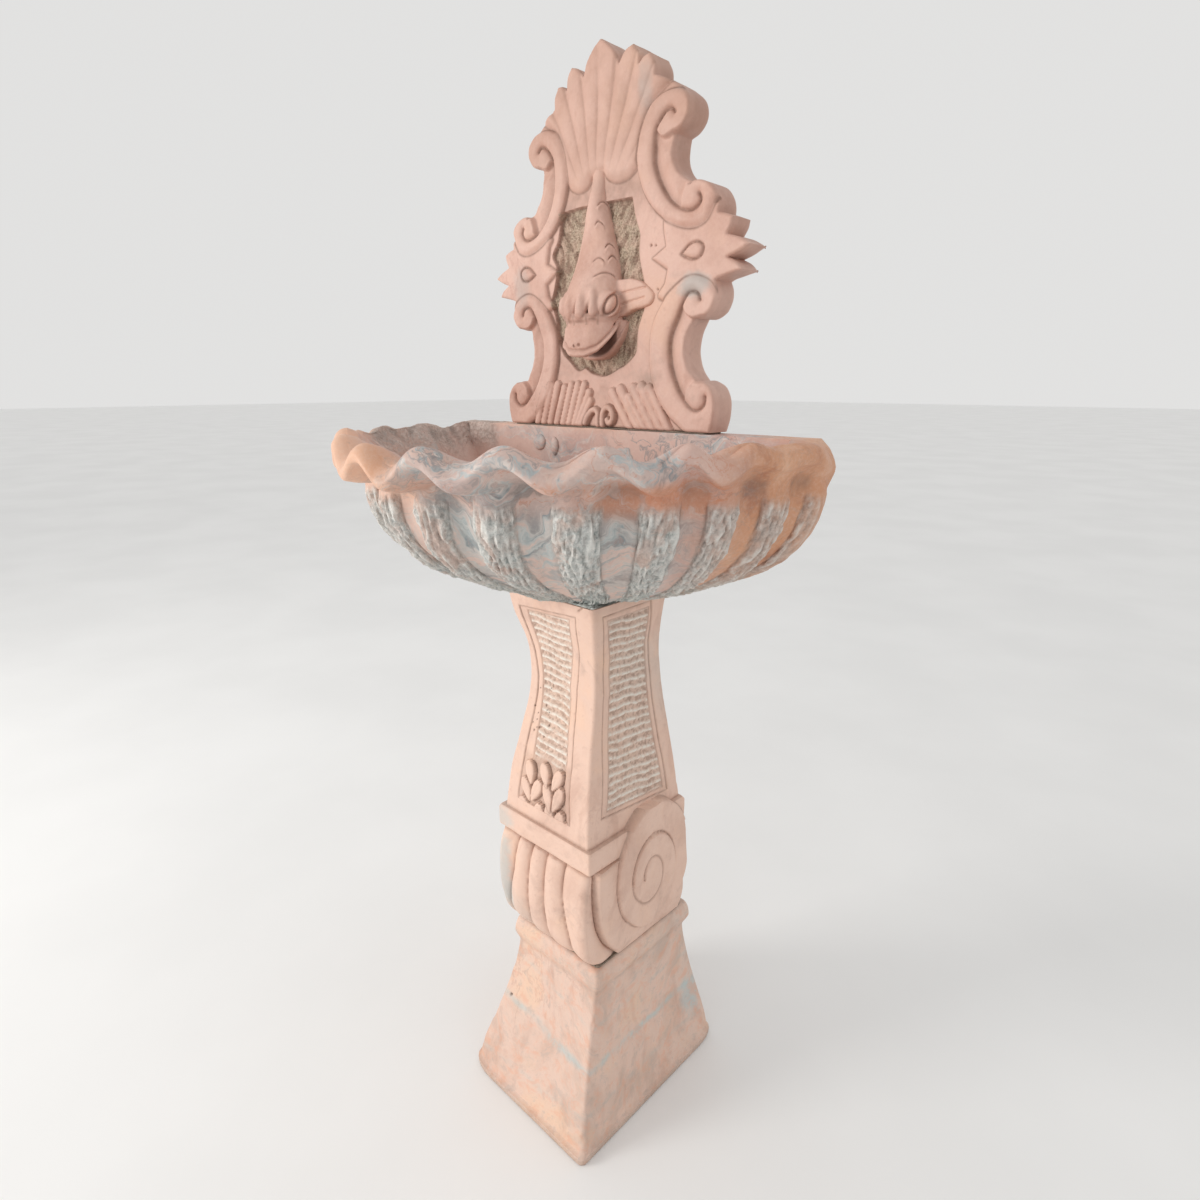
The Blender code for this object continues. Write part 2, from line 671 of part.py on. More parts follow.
# ---------------------------------------------------------------- pipe clip and its screws
CLIP_Z = 1.215
clip = make("pipe_clip", *box((-0.0125, BACK_Y + GAP, CLIP_Z - 0.008), (0.0125, RISER_Y + 0.0125, CLIP_Z + 0.008)), BRASS, 0.4, 1.0)
boolean(clip, cutter("clip_foot", box((-0.0300, BACK_Y + GAP, CLIP_Z - 0.0079), (0.0300, BACK_Y + GAP + 0.0032, CLIP_Z + 0.0079))), "UNION")
drill(clip, "clip_way", PIPE_R + GAP, (0, RISER_Y, CLIP_Z), -0.02, 0.02, "Z", 16)
for side, word in ((-1, "left"), (1, "right")):
    x = side * 0.0215
    y0 = BACK_Y + GAP + 0.0032 + GAP
    make("clip_screw_" + word, *turned([(0.0014, y0 - 0.0250), (0.0019, y0 - 0.0220), (0.0019, y0), (0.0040, y0), (0.0038, y0 + 0.0014), (0.0024, y0 + 0.0024)], (x, 0, CLIP_Z), "Y", 12), STEEL, 0.3, 1.0)
    drill(clip, "clip_hole_" + word, 0.0019 + GAP, (x, 0, CLIP_Z), BACK_Y - 0.01, y0 + 0.01, "Y", 12)
    drill(panel_ob, "plug_hole_" + word, 0.0019 + GAP, (x, 0, CLIP_Z), y0 - 0.0260, BACK_Y + 0.01, "Y", 12)
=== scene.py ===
"""Looks of the marble fountain: carved stones with their fine surface, marble, metals, a pale studio floor and light.

Metres, +Z up. The fountain faces -Y; X runs to the right of someone who faces it.
"""

import json
import math

import bpy
import numpy as np
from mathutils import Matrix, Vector
from mathutils.geometry import delaunay_2d_cdt


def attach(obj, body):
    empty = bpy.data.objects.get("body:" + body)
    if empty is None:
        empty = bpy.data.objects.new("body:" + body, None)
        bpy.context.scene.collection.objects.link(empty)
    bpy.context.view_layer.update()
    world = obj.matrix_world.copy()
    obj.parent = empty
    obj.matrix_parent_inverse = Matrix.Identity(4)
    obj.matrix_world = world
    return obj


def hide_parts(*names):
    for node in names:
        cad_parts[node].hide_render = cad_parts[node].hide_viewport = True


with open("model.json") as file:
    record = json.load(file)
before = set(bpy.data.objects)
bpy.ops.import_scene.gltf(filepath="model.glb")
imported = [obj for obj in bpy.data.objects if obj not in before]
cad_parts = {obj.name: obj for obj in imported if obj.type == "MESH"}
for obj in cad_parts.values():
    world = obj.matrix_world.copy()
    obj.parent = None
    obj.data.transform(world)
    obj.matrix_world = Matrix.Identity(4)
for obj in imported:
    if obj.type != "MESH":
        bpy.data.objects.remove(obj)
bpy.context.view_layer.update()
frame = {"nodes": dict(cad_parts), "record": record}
scene = bpy.context.scene
NODES = frame["nodes"]

# ---------------------------------------------------------------- dimensions shared with the construction
LEDGE_Y, BACK_Y = 0.0105, 0.0535
LEDGE_Z, BASIN_Z0 = 1.1530, 0.9170
BOWL_A, BOWL_B, BOWL_TOP_Z = 0.350, 0.385, 1.105
LOBES = 12
FLOOR_Z, FLOOR_A, FLOOR_B = 0.972, 0.105, 0.118
WASTE_Y = -0.030
PANEL_Z0, PANEL_TOP_Z = 1.1553, 1.650
COLUMN_Z0, SCROLL_TOP_Z, BAND_TOP_Z, COLUMN_TOP_Z = 0.3030, 0.495, 0.534, 0.9135
SPLIT_Z = 0.5575
BAND = (0.1085, -0.1240, 0.1140)
SCROLL_STATIONS = (
    (0.303, 0.0985, -0.0960, 0.1310),
    (0.330, 0.1060, -0.1180, 0.1300),
    (0.370, 0.1100, -0.1290, 0.1260),
    (0.420, 0.1110, -0.1330, 0.1200),
    (0.470, 0.1100, -0.1280, 0.1150),
    (0.495, 0.1080, -0.1200, 0.1130),
)
SHAFT_STATIONS = (
    (0.534, 0.0975, -0.1160, 0.1105),
    (0.610, 0.0913, -0.1066, 0.1009),
    (0.670, 0.0824, -0.0929, 0.0952),
    (0.760, 0.0740, -0.0745, 0.0830),
    (0.820, 0.0765, -0.0769, 0.0745),
    (0.880, 0.0899, -0.0938, 0.0655),
    (0.9135, 0.0935, -0.1002, 0.0703),
)


# ---------------------------------------------------------------- numbers
def sstep(lo, hi, x):
    t = np.clip((x - lo) / (hi - lo), 0.0, 1.0)
    return t * t * (3 - 2 * t)


def lattice(seed):
    return np.random.RandomState(seed).rand(48, 48, 48)


LATTICES = {}


def noise(P, size, seed=0):
    """Smooth noise from 0 to 1 at points P. size: metres per cell, one number or one for each axis."""
    if seed not in LATTICES:
        LATTICES[seed] = lattice(seed)
    L = LATTICES[seed]
    q = np.asarray(P, float) / np.asarray(size, float) + 1000.0
    i = np.floor(q).astype(int)
    f = q - i
    f = f * f * (3 - 2 * f)
    out = np.zeros(len(q))
    for dx in (0, 1):
        for dy in (0, 1):
            for dz in (0, 1):
                w = (f[:, 0] if dx else 1 - f[:, 0]) * (f[:, 1] if dy else 1 - f[:, 1]) * (f[:, 2] if dz else 1 - f[:, 2])
                out += w * L[(i[:, 0] + dx) % 48, (i[:, 1] + dy) % 48, (i[:, 2] + dz) % 48]
    return out


def fbm(P, size, octaves=3, seed=0):
    total, amp, norm = 0.0, 1.0, 0.0
    size = np.asarray(size, float)
    for k in range(octaves):
        total = total + amp * noise(P, size / (2.0**k), seed + k)
        norm += amp
        amp *= 0.5
    return total / norm


def stations(table, z):
    """Values between stations on a smooth curve, for an array of heights."""
    t = np.array(table, float)
    zs, vs = t[:, 0], t[:, 1:]
    slope = np.gradient(vs, zs, axis=0)
    z = np.atleast_1d(np.asarray(z, float))
    j = np.clip(np.searchsorted(zs, z) - 1, 0, len(zs) - 2)
    h = (zs[j + 1] - zs[j])[:, None]
    u = ((z - zs[j]) / (zs[j + 1] - zs[j]))[:, None]
    return (
        vs[j] * (2 * u**3 - 3 * u**2 + 1)
        + vs[j + 1] * (3 * u**2 - 2 * u**3)
        + slope[j] * h * (u**3 - 2 * u**2 + u)
        + slope[j + 1] * h * (u**3 - u**2)
    )


def path(points, step=0.0013):
    """A smooth line through points, evenly sampled. A point with a third value is a sharp corner."""
    runs, run = [], []
    for k, p in enumerate(points):
        run.append((p[0], p[1]))
        if len(p) > 2 and k not in (0, len(points) - 1):
            runs.append(run)
            run = [(p[0], p[1])]
    runs.append(run)
    out = []
    for run in runs:
        P = np.array(run, float)
        if len(P) == 2:
            dense = np.linspace(P[0], P[1], 40)
        else:
            Q = np.vstack([2 * P[0] - P[1], P, 2 * P[-1] - P[-2]])
            dense = []
            for i in range(1, len(Q) - 2):
                a, b, c, d = Q[i - 1 : i + 3]
                t = np.linspace(0, 1, 24, endpoint=False)[:, None]
                dense.append(0.5 * ((2 * b) + (c - a) * t + (2 * a - 5 * b + 4 * c - d) * t**2 + (3 * b - a - 3 * c + d) * t**3))
            dense = np.vstack(dense + [P[-1:]])
        s = np.concatenate([[0], np.cumsum(np.linalg.norm(np.diff(dense, axis=0), axis=1))])
        n = max(1, int(round(s[-1] / step)))
        e = np.linspace(0, s[-1], n + 1)
        got = np.stack([np.interp(e, s, dense[:, 0]), np.interp(e, s, dense[:, 1])], 1)
        out.append(got if not out else got[1:])
    return np.vstack(out)


def distance(P, line, closed=False, reach=0.02):
    """Distance from points to a line of segments, and how far along it the nearest point lies (0 to 1)."""
    line = np.asarray(line, float)
    if closed:
        line = np.vstack([line, line[:1]])
    best = np.full(len(P), 1.0)
    along = np.zeros(len(P))
    lo, hi = line.min(0) - reach, line.max(0) + reach
    near = np.where(((P >= lo) & (P <= hi)).all(1))[0]
    if not len(near):
        return best, along
    Q = P[near]
    d2 = np.full(len(Q), 1.0)
    at = np.zeros(len(Q))
    seg = np.linalg.norm(np.diff(line, axis=0), axis=1)
    total = max(seg.sum(), 1e-9)
    start = np.concatenate([[0], np.cumsum(seg)])
    for k in range(len(line) - 1):
        a, b = line[k], line[k + 1]
        e = b - a
        L2 = e @ e
        if L2 < 1e-14:
            continue
        t = np.clip(((Q - a) @ e) / L2, 0, 1)
        r = Q - a - t[:, None] * e
        dd = (r * r).sum(1)
        m = dd < d2
        d2[m] = dd[m]
        at[m] = (start[k] + t[m] * seg[k]) / total
    best[near] = np.sqrt(d2)
    along[near] = at
    return best, along


def inside(P, poly):
    poly = np.asarray(poly, float)
    res = np.zeros(len(P), bool)
    x, z = P[:, 0], P[:, 1]
    n = len(poly)
    for i in range(n):
        x0, z0 = poly[i]
        x1, z1 = poly[(i + 1) % n]
        if z0 == z1:
            continue
        c = (z0 > z) != (z1 > z)
        res ^= c & (x < (x1 - x0) * (z - z0) / (z1 - z0) + x0)
    return res


def signed(P, poly, reach=0.02):
    """Distance to a closed shape's edge, positive inside."""
    d, _ = distance(P, poly, True, reach)
    return np.where(inside(P, poly), d, -d)


# ---------------------------------------------------------------- meshes
def mesh_object(name, verts, faces, attributes=None, sharp=50.0, triangles=None):
    """An object from an array of points and arrays of quads or triangles."""
    verts = np.asarray(verts, np.float32)
    loops, starts, totals = [], [], []
    pos = 0
    for F in faces:
        F = np.asarray(F, np.int32)
        if F.ndim == 1:
            F = F[None, :]
        k = F.shape[1]
        loops.append(F.reshape(-1))
        starts.append(pos + k * np.arange(len(F), dtype=np.int32))
        totals.append(np.full(len(F), k, np.int32))
        pos += F.size
    loops, starts, totals = np.concatenate(loops), np.concatenate(starts), np.concatenate(totals)
    me = bpy.data.meshes.new(name)
    me.vertices.add(len(verts))
    me.vertices.foreach_set("co", verts.reshape(-1))
    me.loops.add(len(loops))
    me.loops.foreach_set("vertex_index", loops)
    me.polygons.add(len(starts))
    me.polygons.foreach_set("loop_start", starts)
    me.polygons.foreach_set("loop_total", totals)
    me.update(calc_edges=True)
    me.validate()
    for key, values in (attributes or {}).items():
        a = me.attributes.new(key, "FLOAT", "POINT")
        a.data.foreach_set("value", np.asarray(values, np.float32))
    me.shade_smooth()
    me.set_sharp_from_angle(angle=math.radians(sharp))
    ob = bpy.data.objects.new(name, me)
    scene.collection.objects.link(ob)
    return ob


def ring_faces(rows, columns, wrap_rows=False):
    """Quads of a grid of rows of closed rings."""
    i = np.arange(columns)
    k = (i + 1) % columns
    out = []
    last = rows if wrap_rows else rows - 1
    for j in range(last):
        a, b = j * columns, ((j + 1) % rows) * columns
        out.append(np.stack([a + i, a + k, b + k, b + i], 1))
    return np.vstack(out)


def grid_normals(G):
    """Unit normals of a grid of closed rings, shape (rows, columns, 3)."""
    du = np.roll(G, -1, 1) - np.roll(G, 1, 1)
    dv = np.gradient(G, axis=0)
    n = np.cross(du, dv)
    return n / np.maximum(np.linalg.norm(n, axis=2, keepdims=True), 1e-12)


# ---------------------------------------------------------------- plinth
COLLAR_Z, PLINTH_TOP_Z, NECK_Z = 0.262, 0.300, 0.250
NECK = (0.0967, -0.0985, 0.1376)
COLLAR = (0.1040, -0.1110, 0.1480)


def plinth_section(z):
    u = np.maximum(0.0, 1 - z / NECK_Z)
    return (
        NECK[0] + (0.1475 - NECK[0]) * u**1.60,
        NECK[1] + (-0.1845 - NECK[1]) * u**1.25,
        NECK[2] + (0.1845 - NECK[2]) * u**1.15,
    )


def rect_ring(hx, y0, y1, z, radius, per_side, per_corner):
    """Corner-rounded rectangle, counter-clockwise from the front left corner's end."""
    pts = []
    sides = (
        ((-hx + radius, y0), (hx - radius, y0), (hx - radius, y0 + radius), -90),
        ((hx, y0 + radius), (hx, y1 - radius), (hx - radius, y1 - radius), 0),
        ((hx - radius, y1), (-hx + radius, y1), (-hx + radius, y1 - radius), 90),
        ((-hx, y1 - radius), (-hx, y0 + radius), (-hx + radius, y0 + radius), 180),
    )
    for (a, b, c, deg), n in zip(sides, per_side):
        for i in range(n):
            t = i / n
            pts.append((a[0] + (b[0] - a[0]) * t, a[1] + (b[1] - a[1]) * t, z))
        for i in range(per_corner):
            w = math.radians(deg + 90 * i / per_corner)
            pts.append((c[0] + radius * math.cos(w), c[1] + radius * math.sin(w), z))
    return np.array(pts)


def bore_rows(ring, centre, radius, heights):
    """Rows of circles inside a ring, each point at the ring point's own angle about the bore."""
    ang = np.arctan2(ring[:, 1] - centre[1], ring[:, 0] - centre[0])
    return [np.stack([centre[0] + radius * np.cos(ang), centre[1] + radius * np.sin(ang), np.full(len(ang), z)], 1) for z in heights]


def make_plinth():
    per = (112, 124, 60, 124)
    corner = 7
    rows = []
    for z, inset, r in ((0.0, 0.0030, 0.0100), (0.0006, 0.0010, 0.0100), (0.0030, 0.0, 0.0100), (0.0120, 0.0, 0.0095), (0.0135, 0.0004, 0.0095)):
        hx, y0, y1 = plinth_section(np.array(0.0))
        rows.append(rect_ring(hx - inset, y0 + inset, y1 - inset, z, r, per, corner))
    for z in np.linspace(0.0150, NECK_Z, 92):
        hx, y0, y1 = plinth_section(np.array(z))
        fresh = 0.0007 * float(sstep(0.030, 0.015, z))
        rows.append(rect_ring(hx - fresh, y0 + fresh, y1 - fresh, z, 0.0062 + 0.003 * float(sstep(0.06, 0.015, z)), per, corner))
    # the collar grows out of the neck in a cove and rolls over at its top
    hx, y0, y1 = COLLAR
    for z in np.linspace(0.2525, 0.2700, 9):
        t = float(sstep(0.2500, 0.2720, z))
        rows.append(rect_ring(NECK[0] + (hx - NECK[0]) * t, NECK[1] + (y0 + 0.0070 - NECK[1]) * t, NECK[2] + (y1 - NECK[2]) * t, z, 0.0062, per, corner))
    for a in np.linspace(0.10, math.pi / 2, 16):
        z = 0.2700 + 0.0300 * math.sin(a)
        inset = 0.0100 * (1 - math.cos(a))
        rows.append(rect_ring(hx - inset, y0 + 0.0070 + inset * 1.1, y1 - inset, z, 0.0068, per, corner))
    G = np.array(rows)
    # the foot's left front corner is worn round
    x, y, z = G[:, :, 0], G[:, :, 1], G[:, :, 2]
    low = sstep(0.085, 0.0, z)
    near = np.clip(1 - np.hypot(x + 0.1475, y + 0.1845) / 0.050, 0, 1) ** 1.6 * low
    G[:, :, 0] += 0.0105 * near
    G[:, :, 1] += 0.0105 * near
    near = np.clip(1 - np.hypot(x - 0.1475, y - 0.1845) / 0.050, 0, 1) ** 1.6 * low
    G[:, :, 0] -= 0.0070 * near
    G[:, :, 1] -= 0.0070 * near
    N = grid_normals(G)
    P = G.reshape(-1, 3)
    amount = 0.0019 * (fbm(P, 0.060, 3, 11) - 0.5) + 0.0006 * (fbm(P, 0.014, 2, 14) - 0.5)
    x, y, z = P[:, 0], P[:, 1], P[:, 2]
    # rough-hewn foot band
    band = sstep(0.0145, 0.0115, z) * (z > 0.0004)
    amount = amount + band * 0.0016 * (noise(P, (0.006, 0.006, 0.004), 16) - 0.5)
    # chips along the front arris
    arris = np.exp(-((np.hypot(np.abs(x) - plinth_section(z)[0], y - plinth_section(z)[1]) / 0.006) ** 2)) * (y < 0)
    amount = amount - 0.0022 * arris * np.clip(noise(P, 0.011, 17) - 0.55, 0, 1) * 3
    # a small drilled pit near the front's left edge
    shaded_pit = np.exp(-((((x + 0.0901) / 0.0024) ** 2 + ((z - 0.1485) / 0.0024) ** 2) ** 2)) * (y < 0)
    amount = amount - 0.0050 * shaded_pit
    shape = G.shape
    amount = amount.reshape(shape[:2])
    amount[0:2] *= 0.2
    G = (P + N.reshape(-1, 3) * amount.reshape(-1)[:, None]).reshape(shape)
    G[:, :, 0] = np.clip(G[:, :, 0], -0.1475, 0.1475)
    G[:, :, 1] = np.clip(G[:, :, 1], -0.1845, 0.1845)
    G[:, :, 2] = np.clip(G[:, :, 2], 0.0, PLINTH_TOP_Z)
    G[0, :, 2] = 0.0
    c = (0.0, WASTE_Y)
    inner = bore_rows(G[-1], c, 0.0165, (PLINTH_TOP_Z, 0.0))
    G = np.concatenate([G, np.array(inner)], 0)
    rows_n, cols = G.shape[:2]
    P = G.reshape(-1, 3)
    att = {
        "shaded_pit": np.concatenate([shaded_pit, np.zeros(2 * cols)]),
        "tool": np.concatenate([0.55 * band, np.zeros(2 * cols)]),
        # soil and painted shade at the collar's crease, towards the foot and at the top under the column; the drilled
        # pit is painted near-black
        "soil_and_shade": 0.12 * np.exp(-(((P[:, 2] - 0.2540) / 0.006) ** 2)) + 0.22 * sstep(0.020, 0.0, P[:, 2]) + 0.35 * sstep(0.294, 0.300, P[:, 2]),
    }
    return mesh_object("plinth_stone", P, [ring_faces(rows_n, cols, True)], att, 60)


# ---------------------------------------------------------------- column
SPIRAL_A, SPIRAL_B, SPIRAL_C = 0.0185, 0.0245, 0.0048
SPIRAL_AT = (0.017, 0.428)
SPIRAL_TALL = 1.37


def spiral_turn(u, v):
    """How many turns out a point lies, measured from the groove: whole numbers lie on the groove. Also the turn itself and the angle from the front, -0.5 to 0.5."""
    frac = (np.arctan2(v, -u) / (2 * math.pi)) % 1.0
    ahead = np.where(frac > 0.5, frac - 1, frac)
    # the spiral is flatter towards the front's foot
    r = np.hypot(u, v) / np.interp(ahead, (-0.5, -0.375, -0.25, -0.12, -0.035, 0.07, 0.25, 0.5), (1.0, 0.95, 0.90, 0.86, 0.925, 0.972, 1.0, 1.0))
    q = SPIRAL_B**2 - 4 * SPIRAL_C * (SPIRAL_A - r)
    t = (-SPIRAL_B + np.sqrt(np.maximum(q, 0))) / (2 * SPIRAL_C)
    return t - frac, t, ahead


def strap(w):
    """Height of a turn of the volute: rounded and highest at its outer edge, sinking to the next turn's groove."""
    f = w - np.floor(w)
    edge = 1 - np.clip((f - 0.88) / 0.12, 0, 1) ** 2.2
    rise = 0.30 + 0.70 * sstep(0.05, 0.80, f)
    return rise * edge


def column_rings(zs, nf, ns, nb):
    """Base rings of the column: front (x from left to right), right side, back, left side. Returns the face of each
    column and how far along its face it lies.
    """
    faces = np.concatenate([np.full(nf, 0), np.full(ns, 1), np.full(nb, 2), np.full(ns, 3)])
    frac = np.concatenate([np.arange(nf) / nf, np.arange(ns) / ns, np.arange(nb) / nb, np.arange(ns) / ns])
    return faces, frac


def column_base(z, faces, frac, hx, y0, y1):
    """Points of one level's rectangle."""
    x = np.where(faces == 0, -hx + 2 * hx * frac, np.where(faces == 1, hx, np.where(faces == 2, hx - 2 * hx * frac, -hx)))
    y = np.where(faces == 0, y0, np.where(faces == 1, y0 + (y1 - y0) * frac, np.where(faces == 2, y1, y1 + (y0 - y1) * frac)))
    return np.stack([x, y, np.full(len(x), z)], 1)


def soften_corners(G, faces, hx, y0, y1, radius):
    """Rounds the four upright corners of a level by pulling points near a corner in."""
    x, y = G[:, 0], G[:, 1]
    cx, cy = np.sign(x) * (hx - radius), np.where(y < 0.5 * (y0 + y1), y0 + radius, y1 - radius)
    dx, dy = np.abs(x) - (hx - radius), np.where(y < 0.5 * (y0 + y1), (y0 + radius) - y, y - (y1 - radius))
    m = (dx > 0) & (dy > 0)
    r = np.hypot(dx, dy)
    k = np.where(m & (r > 1e-9), np.minimum(1.0, radius / np.maximum(r, 1e-9)), 1.0)
    G[:, 0] = np.where(m, cx + (x - cx) * k, x)
    G[:, 1] = np.where(m, cy + (y - cy) * k, y)
    return G


SEAMS = (  # where the seams between the front's flutes lie at four heights, as parts of the half width
    (0.303, (-1.0, -0.800, -0.400, 0.060, 0.520, 1.0)),
    (0.350, (-1.0, -0.815, -0.340, 0.045, 0.540, 1.0)),
    (0.430, (-1.0, -0.600, -0.270, 0.070, 0.450, 1.0)),
    (0.495, (-1.0, -0.560, -0.240, 0.080, 0.440, 1.0)),
)


def make_scroll():
    nf, ns, nb = 158, 164, 44
    faces, frac = column_rings(None, nf, ns, nb)
    cols = len(faces)
    # more columns near the front corners
    frac = np.where(faces == 0, 0.5 - 0.5 * np.cos(np.pi * frac) * (1 - 0.30) - 0.30 * (0.5 - frac), frac)
    # even levels, with the band's two steps drawn sharp
    zs = np.concatenate(
        [
            np.linspace(COLUMN_Z0, 0.4925, 106),
            np.array([0.4938, 0.4946, 0.4950, 0.4953, 0.4960, 0.4972, 0.4990]),
            np.linspace(0.5015, 0.5290, 11),
            np.array([0.5310, 0.5325, 0.5335, 0.5340, 0.5343, 0.5350, 0.5362]),
            np.linspace(0.5380, SPLIT_Z, 12),
        ]
    )
    seam_z = np.array([k[0] for k in SEAMS])
    seam_u = np.array([k[1] for k in SEAMS])
    rows, soil_and_shade = [], []
    for z in zs:
        in_band = 0.49495 <= z <= 0.53405
        if z < 0.49495:
            hx, y0, y1 = stations(SCROLL_STATIONS, z)[0]
        elif in_band:
            hx, y0, y1 = BAND
            # worn nosing
            t = (z - 0.5145) / 0.0195
            shrink = 0.0034 * np.clip((abs(t) - 0.70) / 0.30, 0, 1) ** 2
            hx, y0, y1 = hx - shrink, y0 + shrink, y1 - shrink
        else:
            hx, y0, y1 = stations(SHAFT_STATIONS, max(z, BAND_TOP_Z))[0]
        G = column_base(z, faces, frac, hx, y0, y1)
        lower = z < 0.49495
        dt = np.zeros(cols)
        side = (faces == 1) | (faces == 3)
        front = faces == 0
        u = G[:, 1] - SPIRAL_AT[0]
        v = (G[:, 2] - SPIRAL_AT[1]) / SPIRAL_TALL
        w, turn_t, ahead = spiral_turn(u, v)
        r = np.hypot(u, v)
        out = turn_t - ahead  # 2 at the disc's edge and 3 at the groove beyond the strap, all round the front
        edge_t = np.interp(ahead, (-0.5, -0.25, 0.5), (2.5, 1.75, 2.5))
        x_flat = G[:, 0] / hx
        if lower:
            G = soften_corners(G, faces, hx, y0, y1, 0.0195)
            # five pillow-shaped flutes; the outer two are rolls that turn the corners
            edges = np.array([np.interp(z, seam_z, seam_u[:, k]) for k in range(6)])
            j = np.clip(np.searchsorted(edges, x_flat) - 1, 0, 4)
            t = (x_flat - edges[j]) / (edges[j + 1] - edges[j])
            q = 2 * t - 1
            q = np.where(j == 4, 1.45 * t - 1, q)
            q = np.where(j == 0, 1.45 * (1 - t) - 1, q)
            _, ct, ca = spiral_turn(np.array([y0 - SPIRAL_AT[0]]), np.array([(z - SPIRAL_AT[1]) / SPIRAL_TALL]))
            corner_out = float(ct[0] - ca[0])
            span = max(corner_out - 3.0, 0.08)
            on_roll = side & (out > 3.0) & (u < 0)
            q = np.where(on_roll, 0.45 + 0.55 * np.clip((corner_out - out) / span, 0, 1), q)
            pillow = np.sqrt(np.maximum(0.0, 1 - q**2))
            roll = front | on_roll
            rim_top = 0.4935 - 0.016 * (1 - pillow) ** 1.6
            rim_foot = np.where(on_roll, 0.3025, 0.3025 + 0.015 * (1 - pillow) ** 1.5)
            top = sstep(rim_top + 0.0012, rim_top - 0.0030, z)
            foot = sstep(rim_foot - 0.0010, rim_foot + 0.0045, z)
            sink = 0.0110 * (1 - pillow) ** 0.9
            sink = np.maximum(sink, 0.0075 * (1 - top))
            sink = np.maximum(sink, 0.0105 * (1 - foot) * (z > 0.3035) + 0.006 * (z <= 0.3035))
            G[:, 1] = np.where(front, G[:, 1] + sink - 0.0020 * (1 - x_flat**2) * top, G[:, 1])
            # the same depth all round the corner, so that the roll runs on unbroken
            G[:, 0] = np.where(on_roll, G[:, 0] - np.sign(G[:, 0]) * sink, G[:, 0])
            corner = front & (np.abs(x_flat) > 0.80)
            pull = np.clip((np.abs(x_flat) - 0.80) / 0.20, 0, 1) ** 1.5
            G[:, 0] = np.where(corner, G[:, 0] - np.sign(G[:, 0]) * sink * pull, G[:, 0])
            near_front = side & (u < 0) & (G[:, 1] < y0 + 0.022)
            slip = np.clip(1 - (G[:, 1] - y0) / 0.022, 0, 1) ** 1.5
            G[:, 1] = np.where(near_front, G[:, 1] + float(sink[0]) * slip, G[:, 1])
            # soil and painted shade: darker in the seams between the flutes and under their rounded tops and feet
            dt = np.where(roll, 0.75 * np.clip(1 - pillow * 1.6, 0, 1) ** 1.5, 0)
            dt = np.where(front, np.maximum(dt, 0.35 * (1 - top)), dt)
            dt = np.where(front, np.maximum(dt, 0.4 * (1 - foot)), dt)
        else:
            G = soften_corners(G, faces, hx, y0, y1, 0.0045 if in_band else 0.0050)
        # the volutes
        disc = np.clip((edge_t - turn_t) / 0.040, 0, 1)
        h = np.zeros(cols)
        if lower:
            fore = sstep(-0.27, -0.22, ahead) * sstep(0.22, 0.17, ahead)
            outer = strap(np.clip(out, 2.0, 2.9999)) * sstep(0.303, 0.330, z)
            h = np.where((out >= 2.0) & (out <= 3.0), outer * 0.0052 * fore, 0.0)
            fore = fore * float(sstep(0.306, 0.335, z))
            h = h - 0.0026 * np.exp(-(((out - 3.0) / 0.050) ** 2)) * fore
            # soil and painted shade in the groove beyond the volute's outer strap
            dt = np.where(side, np.maximum(dt, 0.45 * np.exp(-(((out - 3.0) / 0.040) ** 2)) * fore), dt)
        dome = 0.0040 * (1 - np.clip(r / 0.100, 0, 1) ** 2)
        turn = np.clip(w, -0.999, 2.4999)
        face_x = 0.1096 + dome + 0.0060 * strap(turn)
        eye = w < 0
        face_x = np.where(eye, 0.1112 + dome + 0.0042 * (1 - (np.clip(r / 0.022, 0, 1)) ** 4), face_x)
        rim = np.exp(-(((turn_t - edge_t) / 0.026) ** 2))
        groove = np.exp(-(((w - 1.0) / 0.034) ** 2)) * (turn_t < edge_t) + rim + np.exp(-((w / 0.055) ** 2)) * (r > 0.010)
        face_x = face_x - 0.0022 * np.minimum(groove, 1.0) * (turn_t < edge_t - 0.03)
        base_x = np.abs(G[:, 0]) + h
        on_disc = side & (turn_t < edge_t) & (u > -0.115)
        new_x = np.where(on_disc, base_x + (np.maximum(face_x, base_x) - base_x) * disc, base_x)
        G[:, 0] = np.where(side, np.sign(G[:, 0]) * np.minimum(new_x, 0.1175), G[:, 0])
        # soil and painted shade in the volute's grooves, and in the steps above and below the band
        dt = np.where(side, np.maximum(dt, 0.62 * np.minimum(groove, 1.0)), dt)
        if z > 0.5335:
            dt = np.maximum(dt, 0.45 * math.exp(-(((z - 0.5345) / 0.003) ** 2)) * ~on_disc)
        if 0.485 < z < 0.4955:
            dt = np.maximum(dt, 0.35 * ~on_disc * float(sstep(0.485, 0.4945, z)))
        rows.append(G)
        soil_and_shade.append(dt)
    G = np.array(rows)
    N = grid_normals(G)
    P = G.reshape(-1, 3)
    amount = 0.0014 * (fbm(P, 0.045, 3, 21) - 0.5) + 0.0005 * (fbm(P, 0.011, 2, 24) - 0.5)
    amount = amount.reshape(G.shape[:2])
    amount[-2:] = 0
    G = G + N * amount[:, :, None]
    G[:, :, 0] = np.clip(G[:, :, 0], -0.1180, 0.1180)
    G[0, :, 2], G[-1, :, 2] = COLUMN_Z0, SPLIT_Z
    c = (0.0, WASTE_Y)
    extra = bore_rows(G[-1], c, 0.0165, (SPLIT_Z, COLUMN_Z0))
    G = np.concatenate([G, np.array(extra)], 0)
    P = G.reshape(-1, 3)
    att = {
        "tool": np.zeros(len(P)),
        "ridge_highlight": np.zeros(len(P)),
        "soil_and_shade": np.concatenate([np.array(soil_and_shade).reshape(-1), np.zeros(2 * cols)]),
        "shaded_pit": np.zeros(len(P)),
    }
    return mesh_object("column_scroll_stone", P, [ring_faces(len(G), cols, True)], att, 50)


